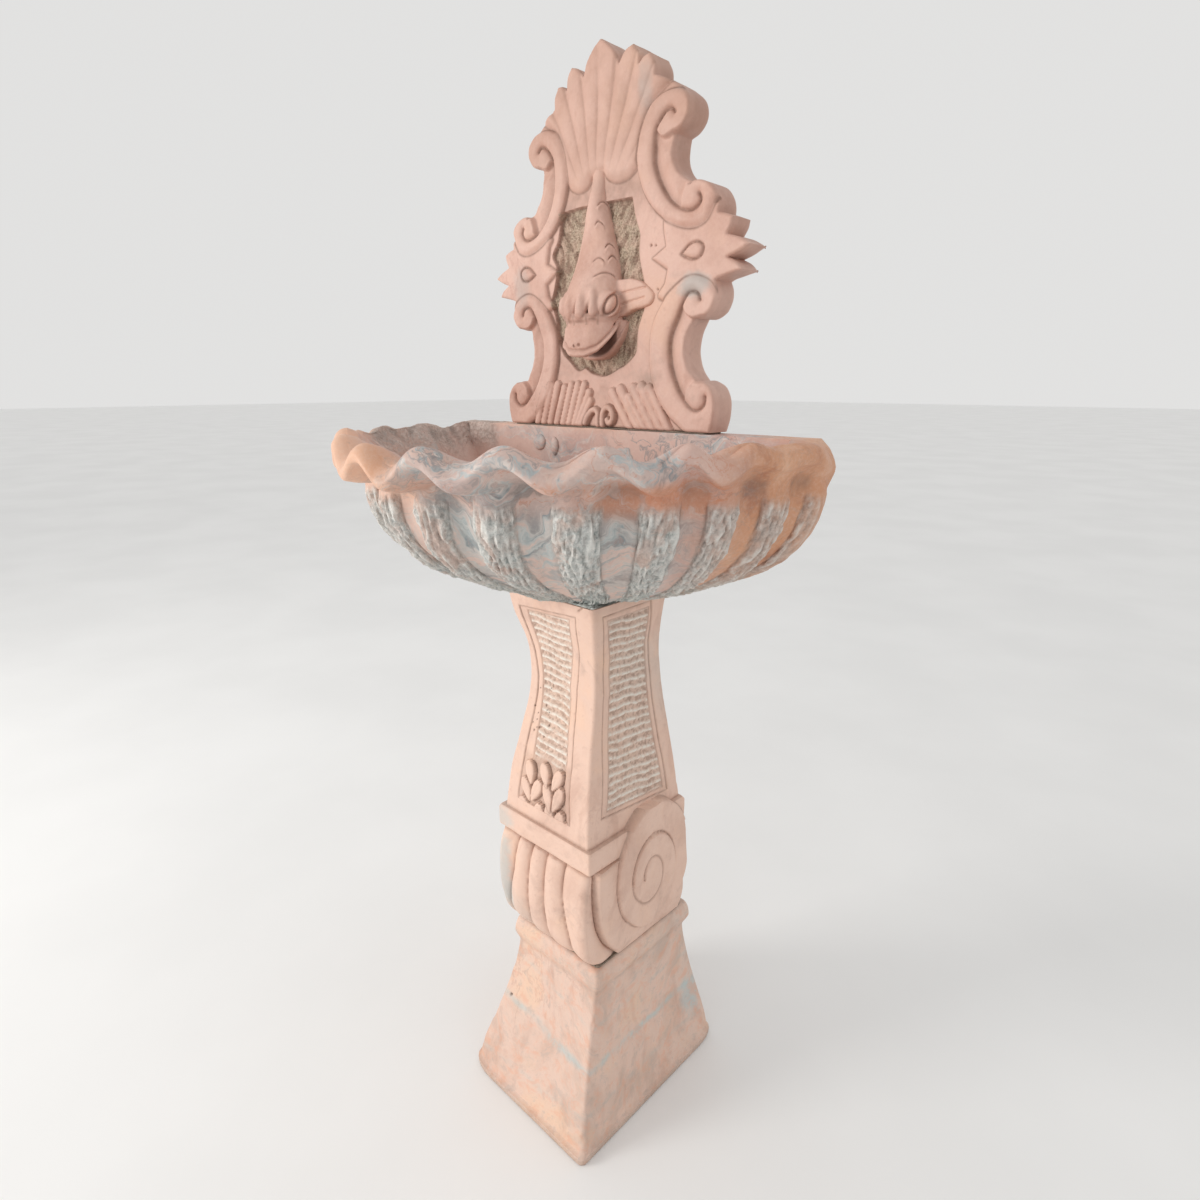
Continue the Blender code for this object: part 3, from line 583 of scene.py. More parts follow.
HUSKS = (  # hanging leaves on the shaft's front: upper end and tip of each
    (-0.0480, 0.6300, -0.0340, 0.5940),
    (-0.0560, 0.5990, -0.0345, 0.5650),
    (-0.0170, 0.6060, -0.0325, 0.5660),
    (-0.0590, 0.5640, -0.0350, 0.5340),
    (-0.0130, 0.5680, -0.0240, 0.5300),
    (-0.0150, 0.6360, 0.0010, 0.6010),
    (-0.0045, 0.6060, 0.0120, 0.5640),
    (0.0050, 0.5720, 0.0150, 0.5330),
    (0.0260, 0.6360, 0.0130, 0.6010),
    (0.0320, 0.6100, 0.0170, 0.5660),
    (0.0370, 0.5720, 0.0200, 0.5320),
    (0.0450, 0.5600, 0.0400, 0.5300),
)
# the worked faces: the frame's inner line and the field's edge at three heights, left or front first
FRONT_FRAME = ((0.543, -0.0670, 0.0560), (0.571, -0.0660, 0.0530), (0.744, -0.0535, 0.0340), (0.768, -0.0535, 0.0335), (0.897, -0.0720, 0.0550))
FRONT_FIELD = ((0.543, -0.0620, 0.0490), (0.640, -0.0400, 0.0330), (0.770, -0.0425, 0.0180), (0.885, -0.0530, 0.0390))
SIDE_FRAME = ((0.541, -0.0880, 0.0800), (0.640, -0.0710, 0.0670), (0.766, -0.0545, 0.0535), (0.820, -0.0580, 0.0450), (0.901, -0.0775, 0.0305))
SIDE_FIELD = ((0.551, -0.0740, 0.0695), (0.640, -0.0570, 0.0570), (0.767, -0.0405, 0.0445), (0.820, -0.0440, 0.0370), (0.892, -0.0660, 0.0275))


def along_height(table, z):
    t = np.array(table)
    return np.interp(z, t[:, 0], t[:, 1]), np.interp(z, t[:, 0], t[:, 2])


def husks(P):
    """Height from 0 to 1 of the hanging leaves at points (x, z), lower leaves tucked under upper ones, and the outline round each."""
    high, line = np.zeros(len(P)), np.zeros(len(P))
    for x0, z0, x1, z1 in reversed(HUSKS):
        a, b = np.array([x0, z0]), np.array([x1, z1])
        e = b - a
        long = np.hypot(*e)
        t = (P - a) @ e / long**2
        d = np.abs((P[:, 0] - a[0]) * e[1] - (P[:, 1] - a[1]) * e[0]) / long
        tt = np.clip(t, 0, 1)
        half = 0.0102 * np.sqrt(np.maximum(0, 1 - np.clip((0.38 - tt) / 0.42, 0, 1) ** 2)) * (1 - np.clip((tt - 0.38) / 0.66, 0, 1) ** 1.7)
        q = d / np.maximum(half, 1e-5)
        m = (t > -0.02) & (t < 1.0) & (q < 1)
        rib = 1 - 0.16 * np.exp(-((d / 0.0011) ** 2)) * (tt > 0.15)
        lift = np.sqrt(np.maximum(0, 1 - q**2)) ** 0.60 * rib * (0.66 + 0.34 * tt)
        edge = np.exp(-(((q - 1.08) * np.maximum(half, 0.001) / 0.0011) ** 2)) * ((t > -0.04) & (t < 1.04))
        line = np.where(m, 0, np.maximum(line, edge))
        high = np.where(m, lift, high)
    return high, line


def make_shaft():
    nf, ns, nb = 136, 140, 40
    faces, frac = column_rings(None, nf, ns, nb)
    cols = len(faces)
    zs = np.linspace(SPLIT_Z - 0.0005, COLUMN_TOP_Z, 204)
    rows, tool, soil_and_shade, pale = [], [], [], []
    for z in zs:
        hx, y0, y1 = stations(SHAFT_STATIONS, z)[0]
        G = column_base(z, faces, frac, hx, y0, y1)
        G = soften_corners(G, faces, hx, y0, y1, 0.0062)
        rows.append(G)
    G = np.array(rows)
    N = grid_normals(G)
    P = G.reshape(-1, 3)
    F = np.tile(faces, len(zs))
    Z = P[:, 2]
    S = stations(SHAFT_STATIONS, zs)
    hx, y0, y1 = (np.repeat(S[:, k], cols) for k in range(3))
    depth = np.zeros(len(P))
    tool, soil_and_shade = np.zeros(len(P)), np.zeros(len(P))
    ridge_highlight = np.zeros(len(P))
    for face in (0, 1, 3):
        m = F == face
        z = Z[m]
        flip = -1.0 if face == 3 else 1.0
        s = P[m, 0] if face == 0 else P[m, 1]
        tables = (FRONT_FRAME, FRONT_FIELD) if face == 0 else (SIDE_FRAME, SIDE_FIELD)
        wob = 0.0016 * (noise(np.stack([s * 0 + face, s * 0, z], 1), 0.026, 31) - 0.5)
        f0, f1 = along_height(tables[0], z)
        g0, g1 = along_height(tables[1], z)
        # the frame's top and foot lines slope a little
        top_line = 0.8900 + 0.06 * s if face == 0 else 0.9000 + 0.03 * s
        foot_line = np.full(len(s), 0.50) if face == 0 else 0.5650 - 0.10 * s
        d_frame = np.minimum(np.minimum(s - f0, f1 - s), np.minimum(top_line - z, z - foot_line)) + wob
        top_field = 0.8845 + 0.05 * s if face == 0 else 0.8900 + 0.02 * s
        d_field = np.minimum(np.minimum(s - g0, g1 - s), np.minimum(top_field - z, z - foot_line - 0.008)) + 1.3 * wob
        line = np.exp(-((d_frame / 0.0012) ** 2))
        line2 = np.exp(-(((d_field) / 0.0011) ** 2))
        field = sstep(0.0004, 0.0026, d_field)
        dep = -0.0022 * line - 0.0017 * line2 - 0.0010 * sstep(0.0, 0.002, d_frame)
        # chisel rows across the field
        pitch = 0.0122 if face == 0 else 0.0132
        q = np.stack([s, z * 0.3, np.full(len(s), face * 0.2)], 1)
        wave = 0.0050 * (noise(q, (0.030, 0.020, 1.0), 33) - 0.5) + 0.0018 * (noise(q, (0.010, 0.010, 1.0), 34) - 0.5)
        t = ((z + 0.10 * flip * s + wave) / pitch) % 1.0
        ridge = np.exp(-(((t - 0.5) / 0.19) ** 2))
        pick = noise(np.stack([s, z, s * 0 + face], 1), (0.0036, 0.0032, 1.0), 36)
        leafy = sstep(0.650, 0.634, z + 0.004 * np.sin(s * 120)) if face == 0 else 0.0
        ridge_here = ridge * (1 - leafy)
        dep = dep + field * (-0.0032 + 0.0030 * ridge_here * (0.72 + 0.28 * pick) + 0.0015 * (pick - 0.5) * (1 - 0.6 * ridge_here))
        tl = field * (0.80 - 0.25 * ridge_here)
        if face == 0:
            Q = np.stack([s, z], 1)
            h, ring = husks(Q)
            near = sstep(-0.0010, 0.0010, np.minimum(s - f0, f1 - s))
            h, ring = h * near, ring * near
            dep = dep * (1 - sstep(0.0, 0.15, h)) + 0.0046 * h - 0.0012 * ring
            tl = tl * (1 - sstep(0.05, 0.4, h)) * (1 - 0.35 * leafy)
            line2 = line2 * (1 - leafy)
            # soil and painted shade round the leaves' outlines and on the ground between them
            soil_and_shade[m] = np.maximum(soil_and_shade[m], 0.70 * ring + 0.28 * leafy * (h <= 0) * sstep(0.0, 0.002, np.minimum(s - f0, f1 - s)))
        depth[m] = dep
        tool[m] = tl
        # painted highlight: the chisel ridges' tops are marked to be painted near-white
        ridge_highlight[m] = ridge_here * field * (0.55 + 0.45 * sstep(0.25, 0.50, pick))
        # soil and painted shade in the incised lines and in the troughs between chisel ridges
        soil_and_shade[m] = np.maximum(soil_and_shade[m], np.maximum(0.80 * line, 0.60 * line2))
        soil_and_shade[m] = np.maximum(soil_and_shade[m], 0.50 * field * sstep(0.45, 0.15, ridge_here) * sstep(0.50, 0.34, pick) * (1 - leafy))
    depth += 0.0014 * (fbm(P, 0.05, 3, 41) - 0.5) + 0.0005 * (fbm(P, 0.010, 2, 44) - 0.5)
    # small drilled specks low on the front's left
    specks = np.zeros(len(P))
    rnd = np.random.RandomState(5)
    for _ in range(15):
        sx, sz, sr = rnd.uniform(-0.056, -0.020), rnd.uniform(0.672, 0.760), rnd.uniform(0.0009, 0.0016)
        specks = np.maximum(specks, np.exp(-(((P[:, 0] - sx) ** 2 + (Z - sz) ** 2) / sr**2) ** 2) * (F == 0))
    depth -= 0.0016 * specks
    edge_row = np.repeat(np.minimum(1.0, np.arange(len(zs)) / 2.0), cols)
    depth = depth * edge_row
    # a short crack on the front's top right
    a, b = np.array([0.0634, 0.9060]), np.array([0.0730, 0.9130])
    d, _ = distance(P[:, [0, 2]], np.array([a, b]))
    crack = np.exp(-((d / 0.0012) ** 2)) * (F == 0)
    depth -= 0.0025 * crack
    # soil and painted shade in the crack and the drilled specks; the specks are also painted near-black
    soil_and_shade = np.maximum(soil_and_shade, np.maximum(crack, 0.9 * specks))
    P = P + N.reshape(-1, 3) * depth[:, None]
    G = P.reshape(len(zs), cols, 3)
    G[0, :, 2], G[-1, :, 2] = SPLIT_Z - 0.0005, COLUMN_TOP_Z
    # pocket for the back nut, and the core bore
    c = (0.0, WASTE_Y)
    top = G[-1]
    extra = bore_rows(top, c, 0.034, (COLUMN_TOP_Z, 0.870)) + bore_rows(top, c, 0.0165, (0.870, SPLIT_Z - 0.0005))
    G = np.concatenate([G, np.array(extra)], 0)
    P = G.reshape(-1, 3)
    zero = np.zeros(4 * cols)
    att = {"tool": np.concatenate([tool, zero]), "soil_and_shade": np.concatenate([soil_and_shade, zero]), "ridge_highlight": np.concatenate([ridge_highlight, zero]), "shaded_pit": np.concatenate([0.7 * specks, zero])}
    return mesh_object("column_shaft_stone", P, [ring_faces(len(G), cols, True)], att, 55)


# ---------------------------------------------------------------- basin
def bowl_half(u):
    """Half width and depth of the bowl's outside, from its underside (0) to under its lip (1)."""
    return (
        BOWL_A * (0.252 + 0.748 * (1 - (1 - u) ** 2.385) ** 0.713),
        BOWL_B * (0.353 + 0.647 * (1 - (1 - u) ** 2.85) ** 0.948),
    )


def basin_controls():
    """Rows along the bowl's section: half width, depth, centre y, height, rib, wave, end height, end half width."""
    rows = []
    for u in (0.0, 0.03, 0.06, 0.11, 0.16, 0.24, 0.32, 0.42, 0.52, 0.63, 0.74, 0.84, 0.92):
        a, b = bowl_half(u)
        z = BASIN_Z0 + (BOWL_TOP_Z - BASIN_Z0) * u
        t = min(1.0, u / 0.4)
        # a fuller foot, so that it sits down on the column
        foot = float(sstep(0.15, 0.0, u))
        a, b = a + 0.033 * BOWL_A * foot, b + 0.062 * BOWL_B * foot
        rows.append([a, b, BACK_Y, z, 0.0104 * t * t * (3 - 2 * t), 0.0, z, a])
    low = 1.1205
    rows.append([0.35175, 0.38885, BACK_Y, 1.105, 0.0060, 0.0040, 1.095, 0.35175])
    rows.append([0.3585, 0.4120, BACK_Y, low - 0.0060, 0.0010, 0.0110, 1.101, 0.3540])
    rows.append([0.3660, 0.4360, BACK_Y, low, 0.0, 0.0130, 1.108, 0.357])
    rows.append([0.3718, 0.4465, BACK_Y, low + 0.0040, 0.0, 0.0135, 1.113, 0.359])
    rows.append([0.3740, 0.4492, BACK_Y, low + 0.0105, 0.0, 0.0135, 1.120, 0.360])
    rows.append([0.3725, 0.4465, BACK_Y, low + 0.0165, 0.0, 0.0132, 1.130, 0.357])
    rows.append([0.3680, 0.4400, BACK_Y, low + 0.0225, 0.0, 0.0125, 1.142, 0.350])
    rows.append([0.3580, 0.4300, BACK_Y, low + 0.0260, 0.0, 0.0112, LEDGE_Z, 0.338])
    rows.append([0.3420, 0.3640, LEDGE_Y, low + 0.0240, 0.0, 0.0050, LEDGE_Z, 0.322])
    rows.append([0.3320, 0.3480, LEDGE_Y, low + 0.0140, 0.002, 0.0040, 1.140, 0.320])
    rows.append([0.3200, 0.3300, LEDGE_Y, 1.1200, 0.005, 0.0030, 1.124, 0.3200])
    rows.append([0.2850, 0.2880, LEDGE_Y, 1.0700, 0.006, 0.0, 1.070, 0.2850])
    rows.append([0.2320, 0.2360, LEDGE_Y, 1.0200, 0.005, 0.0, 1.020, 0.2320])
    rows.append([0.1680, 0.1760, LEDGE_Y, 0.9860, 0.003, 0.0, 0.986, 0.1680])
    rows.append([FLOOR_A, FLOOR_B, LEDGE_Y, FLOOR_Z, 0.0, 0.0, FLOOR_Z, FLOOR_A])
    return np.array(rows)


LOBE_AT = (-8.5, 3.0, 14.5, 26.0, 37.0, 52.2, 67.6, 82.0, 96.5, 111.0, 126.0, 141.0, 156.0, 171.0, 186.0)  # degrees round from the right end


def make_basin():
    C = basin_controls()
    # distance along the section sets the rows' spacing
    sec = np.stack([C[:, 2] - C[:, 1], C[:, 3]], 1)
    s = np.concatenate([[0], np.cumsum(np.linalg.norm(np.diff(sec, axis=0), axis=1))])
    slope = np.gradient(C, s, axis=0)
    samples = np.concatenate(
        [
            np.linspace(s[0], s[13], 90, endpoint=False),
            np.linspace(s[13], s[20], 32, endpoint=False),
            np.linspace(s[20], s[21], 12, endpoint=False),
            np.linspace(s[21], s[23], 9, endpoint=False),
            np.linspace(s[23], s[27], 17),
        ]
    )

    def at(x):
        j = int(np.clip(np.searchsorted(s, x, side="right") - 1, 0, len(s) - 2))
        h = s[j + 1] - s[j]
        u = (x - s[j]) / h
        lin = C[j] * (1 - u) + C[j + 1] * u
        cub = C[j] * (2 * u**3 - 3 * u**2 + 1) + C[j + 1] * (3 * u**2 - 2 * u**3) + slope[j] * h * (u**3 - 2 * u**2 + u) + slope[j + 1] * h * (u**3 - u**2)
        # the lip keeps the smooth curve; the ledge's top stays flat at its ends
        out = cub.copy()
        out[6:8] = lin[6:8]
        out[2] = lin[2]
        return out

    n, m = 560, 38
    theta = np.pi * np.arange(n + 1) / n
    # the lobes crowd together towards the right end
    count = np.interp(np.degrees(theta), LOBE_AT, np.arange(len(LOBE_AT)) - 1.0)
    count = np.convolve(np.pad(count, 12, mode="reflect", reflect_type="odd"), np.ones(25) / 25, "valid")
    w = np.cos(2 * np.pi * count)
    shaped = np.sign(w) * np.abs(w) ** 0.75
    end = sstep(0.0, math.radians(7.5), np.minimum(theta, np.pi - theta))
    calm = 0.10 + 0.90 * sstep(math.radians(8), math.radians(34), theta)
    # the lip is worn nearly level on top at the back left
    level = sstep(math.radians(124), math.radians(137), theta) * sstep(math.radians(178), math.radians(170), theta)
    cos, sin = np.cos(theta), np.sin(theta)
    rows, info = [], []
    for k, x in enumerate(samples):
        a, b, yc, z, rib, wave, end_z, end_a = at(x)
        lobe = shaped if x < s[12] else w
        kk = 1 + rib * lobe / b
        # slacker towards the back left
        slack = np.exp(-(((np.degrees(theta) - 120) / 22) ** 2)) * float(sstep(s[24], s[21], x))
        kk = kk * (1 - slack * (0.028 + 0.022 * float(sstep(s[12], s[14], x))))
        aa = end_a + (a - end_a) * end
        topside = float(sstep(s[17], s[19], x))
        zz = z - wave * w * calm * (1 - 0.65 * level * topside)
        zz = end_z + (zz - end_z) * end
        # hand-cut lobes are not all alike
        zz = zz + (0.0030 * np.sin(3.1 * theta + 0.7) + 0.0018 * np.sin(7.3 * theta)) * end * sstep(s[12], s[15], x) * sstep(s[25], s[22], x)
        px, py = aa * kk * cos, yc - b * kk * sin
        if x < s[3]:
            # the foot spreads to the column's corners
            reach = np.minimum(0.0985 / np.maximum(np.abs(px), 1e-6), 0.1590 / np.maximum(np.abs(py - yc), 1e-6))
            swell = 1 + np.maximum(reach - 1, 0) * (1 - float(sstep(s[0], s[3], x)))
            px, py = px * swell, yc + (py - yc) * swell
        t = np.arange(1, m) / m
        bx = px[-1] + (px[0] - px[-1]) * t
        row = np.concatenate([np.stack([px, py, zz], 1), np.stack([bx, np.full(m - 1, yc), np.full(m - 1, zz[0] * 1.0)], 1)])
        rows.append(row)
        info.append((x, rib))
    G = np.array(rows)
    cols = G.shape[1]
    G = G[:, ::-1]  # runs the other way round, so that faces look out
    lobe_full = np.concatenate([w, np.full(m - 1, -1.0)])[::-1]
    arc_full = np.concatenate([end, np.zeros(m - 1)])[::-1]
    th_full = np.concatenate([theta, np.full(m - 1, 0.0)])[::-1]
    N = grid_normals(G)
    shape = G.shape[:2]
    P = G.reshape(-1, 3)
    xs = np.repeat(samples, cols)
    W = np.tile(lobe_full, len(samples))
    A = np.tile(arc_full, len(samples))
    T = np.tile(th_full, len(samples))
    outside = sstep(s[12] + 0.012, s[12] - 0.010, xs)
    under = sstep(s[3], s[1], xs)
    # tooled ribs: ragged-edged, with broken ridges that run up the section like bark
    ragged = 0.34 * (noise(P, (0.012, 0.012, 0.020), 51) - 0.5)
    low_down = sstep(s[8], s[3], xs) * (0.45 + 0.75 * sstep(math.radians(60), math.radians(115), T))
    tooled = outside * A * np.clip(sstep(-0.34, -0.06, W + ragged + 1.1 * low_down) * sstep(s[12] + 0.010, s[12] - 0.012, xs + 0.006 * W) + under, 0, 1)
    across = T * 0.365
    uv = np.stack([across, xs, np.zeros(len(T))], 1)
    phase = across / 0.0080 + 1.9 * noise(uv, (0.020, 0.034, 1.0), 50) + 0.7 * noise(uv, (0.008, 0.013, 1.0), 52)
    bark = 1 - np.abs(2 * (phase % 1.0) - 1)
    power = 0.45 + 0.55 * sstep(0.25, 0.55, noise(uv, (0.009, 0.020, 1.0), 55))
    chop = noise(uv, (0.0050, 0.0090, 1.0), 53)
    thread = across / 0.0036 + 1.5 * noise(uv, (0.012, 0.020, 1.0), 58)
    thread = 1 - np.abs(2 * (thread % 1.0) - 1)
    pecks = bark * power * 0.60 + 0.18 * thread + 0.22 * chop
    lumps = fbm(uv, (0.013, 0.030, 1.0), 2, 54)
    amount = tooled * (0.0074 * (pecks - 0.38) + 0.0040 * (lumps - 0.5))
    # furrows at the two edges of each rib
    amount -= outside * A * 0.0018 * np.exp(-(((W + 0.24) / 0.10) ** 2)) * sstep(s[1], s[4], xs)
    # soft hand-cut unevenness everywhere, and weathered grooves in the bowl
    amount += 0.0018 * (fbm(P, 0.06, 3, 57) - 0.5) + 0.0006 * (fbm(P, 0.012, 2, 61) - 0.5)
    # chisel marks on the lip's top towards the back left and inside there
    left_back = sstep(math.radians(126), math.radians(142), T) * sstep(s[17], s[19], xs) * sstep(s[24], s[22], xs) * A
    # the ledge's left end is left rough too
    ledge_end = sstep(-0.226, -0.256, P[:, 0]) * sstep(s[20] - 0.008, s[20] + 0.002, xs) * sstep(s[23] + 0.030, s[23] - 0.010, xs) * (1 - A)
    diag = np.stack([P[:, 0] * 0.8 + P[:, 1] * 0.6 + P[:, 2] * 0.5, -P[:, 0] * 0.6 + P[:, 1] * 0.8, P[:, 2]], 1)
    scratch = noise(diag, (0.0060, 0.030, 0.05), 63)
    rough = np.clip(left_back + ledge_end, 0, 1)
    amount += rough * 0.0034 * (scratch - 0.5)
    # flat back stays flat
    back = (P[:, 1] > BACK_Y - 1e-5)
    amount = np.where(back, 0.0, amount)
    keep = np.ones(len(samples))
    keep[0] = 0
    keep[-1] = 0
    amount = amount * np.repeat(keep, cols)
    P = P + N.reshape(-1, 3) * amount[:, None]
    G = P.reshape(shape[0], shape[1], 3)
    G[:, :, 1] = np.where(G[:, :, 1] > BACK_Y, BACK_Y, G[:, :, 1])
    # soil and painted shade: the flutes' coves under the lip, the hollows of the tooling, the rough chisel marks and
    # the rib furrows
    soil_and_shade = np.clip(0.60 * np.exp(-((xs - s[13]) / 0.012) ** 2) * A * sstep(0.5, -0.6, W) + tooled * sstep(0.34, 0.12, pecks) * 0.68, 0, 1)
    soil_and_shade = np.maximum(soil_and_shade, rough * np.clip(0.55 - scratch, 0, 1) * 1.4)
    soil_and_shade = np.maximum(soil_and_shade, 0.35 * outside * A * np.exp(-(((W + 0.24) / 0.12) ** 2)) * sstep(s[1], s[4], xs))
    c = (0.0, WASTE_Y)
    floor, foot = G[-1], G[0]
    extra = bore_rows(floor, c, 0.0285, (FLOOR_Z, FLOOR_Z - 0.0040)) + bore_rows(floor, c, 0.0176, (FLOOR_Z - 0.0040, BASIN_Z0))
    G = np.concatenate([G, np.array(extra)], 0)
    P = G.reshape(-1, 3)
    z4 = np.zeros(4 * cols)
    inner = sstep(s[20], s[22], xs)
    tooling = np.concatenate([np.clip(tooled + rough, 0, 1), z4])
    soil_and_shade = np.concatenate([soil_and_shade, z4])
    inner = np.concatenate([inner, z4 + 1])
    # painted highlight on the tooling's ridge tops
    crest_highlight = np.concatenate([tooled * sstep(0.50, 0.78, pecks), z4])
    ribs = np.concatenate([0.5 + 0.5 * W * A, z4])
    lip = np.concatenate([sstep(s[12], s[14], xs) * sstep(s[23], s[20], xs), z4])
    turn = np.concatenate([np.where(A > 0, T / np.pi, np.clip(0.5 - P[: len(T), 0] / 0.72, 0.0, 1.0)), z4])
    faces = [ring_faces(len(G), cols, True)]
    # two small bosses on the bowl's back wall: a button and a leaf
    verts, extra_soil_and_shade = [P], []
    base = len(P)
    for cx, cz, ra, rb, tall, pointed in ((-0.1310, 1.1270, 0.0135, 0.0130, 0.0056, 0.0), (-0.0960, 1.1220, 0.0085, 0.0150, 0.0048, 0.5)):
        nu, nv = 28, 12
        V = []
        for i in range(nv):
            p = math.pi * (i + 0.5) / nv
            for j in range(nu):
                a = 2 * math.pi * j / nu
                squeeze = 1 - pointed * max(0.0, -math.sin(a)) * abs(math.sin(a))
                V.append((cx + ra * math.sin(p) * math.cos(a) * squeeze, LEDGE_Y - 0.0006 - tall * math.cos(p), cz + rb * math.sin(p) * math.sin(a)))
        V = np.array(V)
        V = V + 0.0010 * (noise(V, 0.006, 67) - 0.5)[:, None]
        verts.append(V)
        faces.append(base + ring_faces(nv, nu)[:, ::-1])
        faces.append(base + np.arange(nu)[None, :])
        faces.append(base + (nv - 1) * nu + np.arange(nu)[None, ::-1])
        base += len(V)
        # soil and painted shade round each boss's foot where it meets the wall
        extra_soil_and_shade.append(0.35 * sstep(LEDGE_Y - 0.004, LEDGE_Y, V[:, 1]))
    P = np.vstack(verts)
    more = len(P) - len(tooling)
    one = np.ones(more)
    att = {
        "tool": np.concatenate([tooling, 0 * one]),
        "soil_and_shade": np.concatenate([soil_and_shade] + extra_soil_and_shade),
        "inner": np.concatenate([inner, one]),
        "ribs": np.concatenate([ribs, 0.5 * one]),
        "lip": np.concatenate([lip, 0 * one]),
        "turn": np.concatenate([turn, 0.5 * one]),
        "ridge_highlight": np.concatenate([crest_highlight, 0 * one]),
        "shaded_pit": np.zeros(len(P)),
    }
    return mesh_object("basin_stone", P, faces, att, 60)


# ---------------------------------------------------------------- back panel
def left_scale(z):
    return 0.935 + 0.055 * sstep(1.30, 1.19, np.asarray(z, float))


def to_left(points):
    return [((-p[0] * float(left_scale(p[1])),) + tuple(p[1:])) for p in points][::-1]


OUTLINE_RIGHT = [
    (0.2000, 1.1553, 1), (0.2045, 1.1700), (0.2060, 1.1860), (0.2045, 1.2000), (0.1970, 1.2130), (0.1830, 1.2205), (0.1700, 1.2215, 1),
    (0.1585, 1.2360), (0.1530, 1.2520), (0.1525, 1.2660), (0.1560, 1.2820), (0.1645, 1.2985, 1),
    (0.1790, 1.2985), (0.1930, 1.3060), (0.2005, 1.3190), (0.2010, 1.3320), (0.1975, 1.3420, 1),
    (0.2060, 1.3450), (0.2360, 1.3510, 1), (0.2270, 1.3600), (0.2145, 1.3665, 1), (0.2300, 1.3715), (0.2455, 1.3785, 1), (0.2300, 1.3870), (0.2125, 1.3930, 1), (0.2180, 1.4020), (0.2205, 1.4115, 1), (0.2090, 1.4160),
    (0.1990, 1.4185, 1), (0.1990, 1.4290), (0.1950, 1.4410), (0.1850, 1.4520), (0.1700, 1.4580), (0.1560, 1.4585, 1),
    (0.1420, 1.4660), (0.1300, 1.4780), (0.1245, 1.4920), (0.1245, 1.5050), (0.1265, 1.5165, 1),
    (0.1400, 1.5215), (0.1490, 1.5310), (0.1515, 1.5430), (0.1470, 1.5555), (0.1350, 1.5660), (0.1190, 1.5765), (0.1060, 1.5830), (0.0945, 1.5880, 1),
    (0.0930, 1.6000), (0.0860, 1.6130, 1), (0.0770, 1.6120), (0.0680, 1.6060, 1), (0.0660, 1.6180), (0.0570, 1.6300, 1), (0.0450, 1.6260), (0.0330, 1.6150, 1), (0.0250, 1.6300), (0.0120, 1.6430),
]
C_UPPER = [(0.172, 1.5400), (0.150, 1.5570), (0.134, 1.5640), (0.117, 1.5655), (0.101, 1.5620), (0.088, 1.5545), (0.078, 1.5400), (0.070, 1.5190), (0.067, 1.4970), (0.072, 1.4730), (0.083, 1.4510), (0.100, 1.4320), (0.122, 1.4170), (0.147, 1.4075), (0.166, 1.4055), (0.182, 1.4110), (0.191, 1.4230), (0.198, 1.4370), (0.215, 1.4450)]
C_LOWER = [(0.225, 1.3150), (0.205, 1.3240), (0.192, 1.3400), (0.171, 1.3490), (0.152, 1.3480), (0.132, 1.3370), (0.117, 1.3240), (0.104, 1.3060), (0.096, 1.2870), (0.093, 1.2620), (0.095, 1.2360), (0.103, 1.2090), (0.116, 1.1890), (0.131, 1.1730), (0.154, 1.1560), (0.165, 1.1450)]
GROOVE_UPPER = [(0.1290, 1.5395), (0.1235, 1.5440), (0.1155, 1.5430), (0.107, 1.5360), (0.099, 1.5250), (0.0960, 1.5050), (0.097, 1.4860), (0.106, 1.4640), (0.121, 1.4440), (0.139, 1.4310), (0.156, 1.4260), (0.168, 1.4285), (0.173, 1.4360), (0.170, 1.4430)]
GROOVE_LOWER = [(0.1770, 1.3200), (0.1740, 1.3270), (0.167, 1.3305), (0.158, 1.3290), (0.150, 1.3200), (0.140, 1.3010), (0.130, 1.2800), (0.128, 1.2580), (0.132, 1.2350), (0.143, 1.2120), (0.155, 1.1970), (0.167, 1.1860), (0.179, 1.1830), (0.189, 1.1905), (0.1905, 1.2010)]
FILLET_UPPER = [(0.1000, 1.5240), (0.1120, 1.5150), (0.1300, 1.5190), (0.160, 1.515), (0.160, 1.460), (0.1500, 1.4560), (0.1440, 1.4430), (0.1400, 1.4320), (0.121, 1.4445), (0.106, 1.4645), (0.0975, 1.4860), (0.0965, 1.5050)]
FILLET_LOWER = [(0.1490, 1.3160), (0.1540, 1.3060), (0.1660, 1.2990), (0.190, 1.2950), (0.190, 1.2250), (0.1700, 1.2190), (0.1600, 1.2100), (0.1560, 1.1980), (0.143, 1.2125), (0.132, 1.2355), (0.1285, 1.2580), (0.1305, 1.2800), (0.1405, 1.3010)]
STAR = [(0.112, 1.4260), (0.1125, 1.4100), (0.1170, 1.3890, 1), (0.0940, 1.3770, 1), (0.1200, 1.3610, 1), (0.1160, 1.3450), (0.1100, 1.3250), (0.200, 1.3150), (0.300, 1.3300), (0.300, 1.4300), (0.200, 1.4300)]
TEAR = [(0.1440, 1.3765, 1), (0.1560, 1.3860), (0.1680, 1.3890), (0.1770, 1.3850), (0.1790, 1.3780), (0.1740, 1.3710), (0.1640, 1.3690), (0.1540, 1.3715), (0.1440, 1.3765)]
SHELL_FOOT = [(-0.0720, 1.5100), (-0.0680, 1.4960), (-0.0600, 1.4830), (-0.0480, 1.4760), (-0.0360, 1.4750), (-0.0240, 1.4790), (-0.0150, 1.4900, 1), (0.0060, 1.4930, 1), (0.0130, 1.4840), (0.0260, 1.4775), (0.0400, 1.4765), (0.0540, 1.4800), (0.0660, 1.4890), (0.0720, 1.5050)]
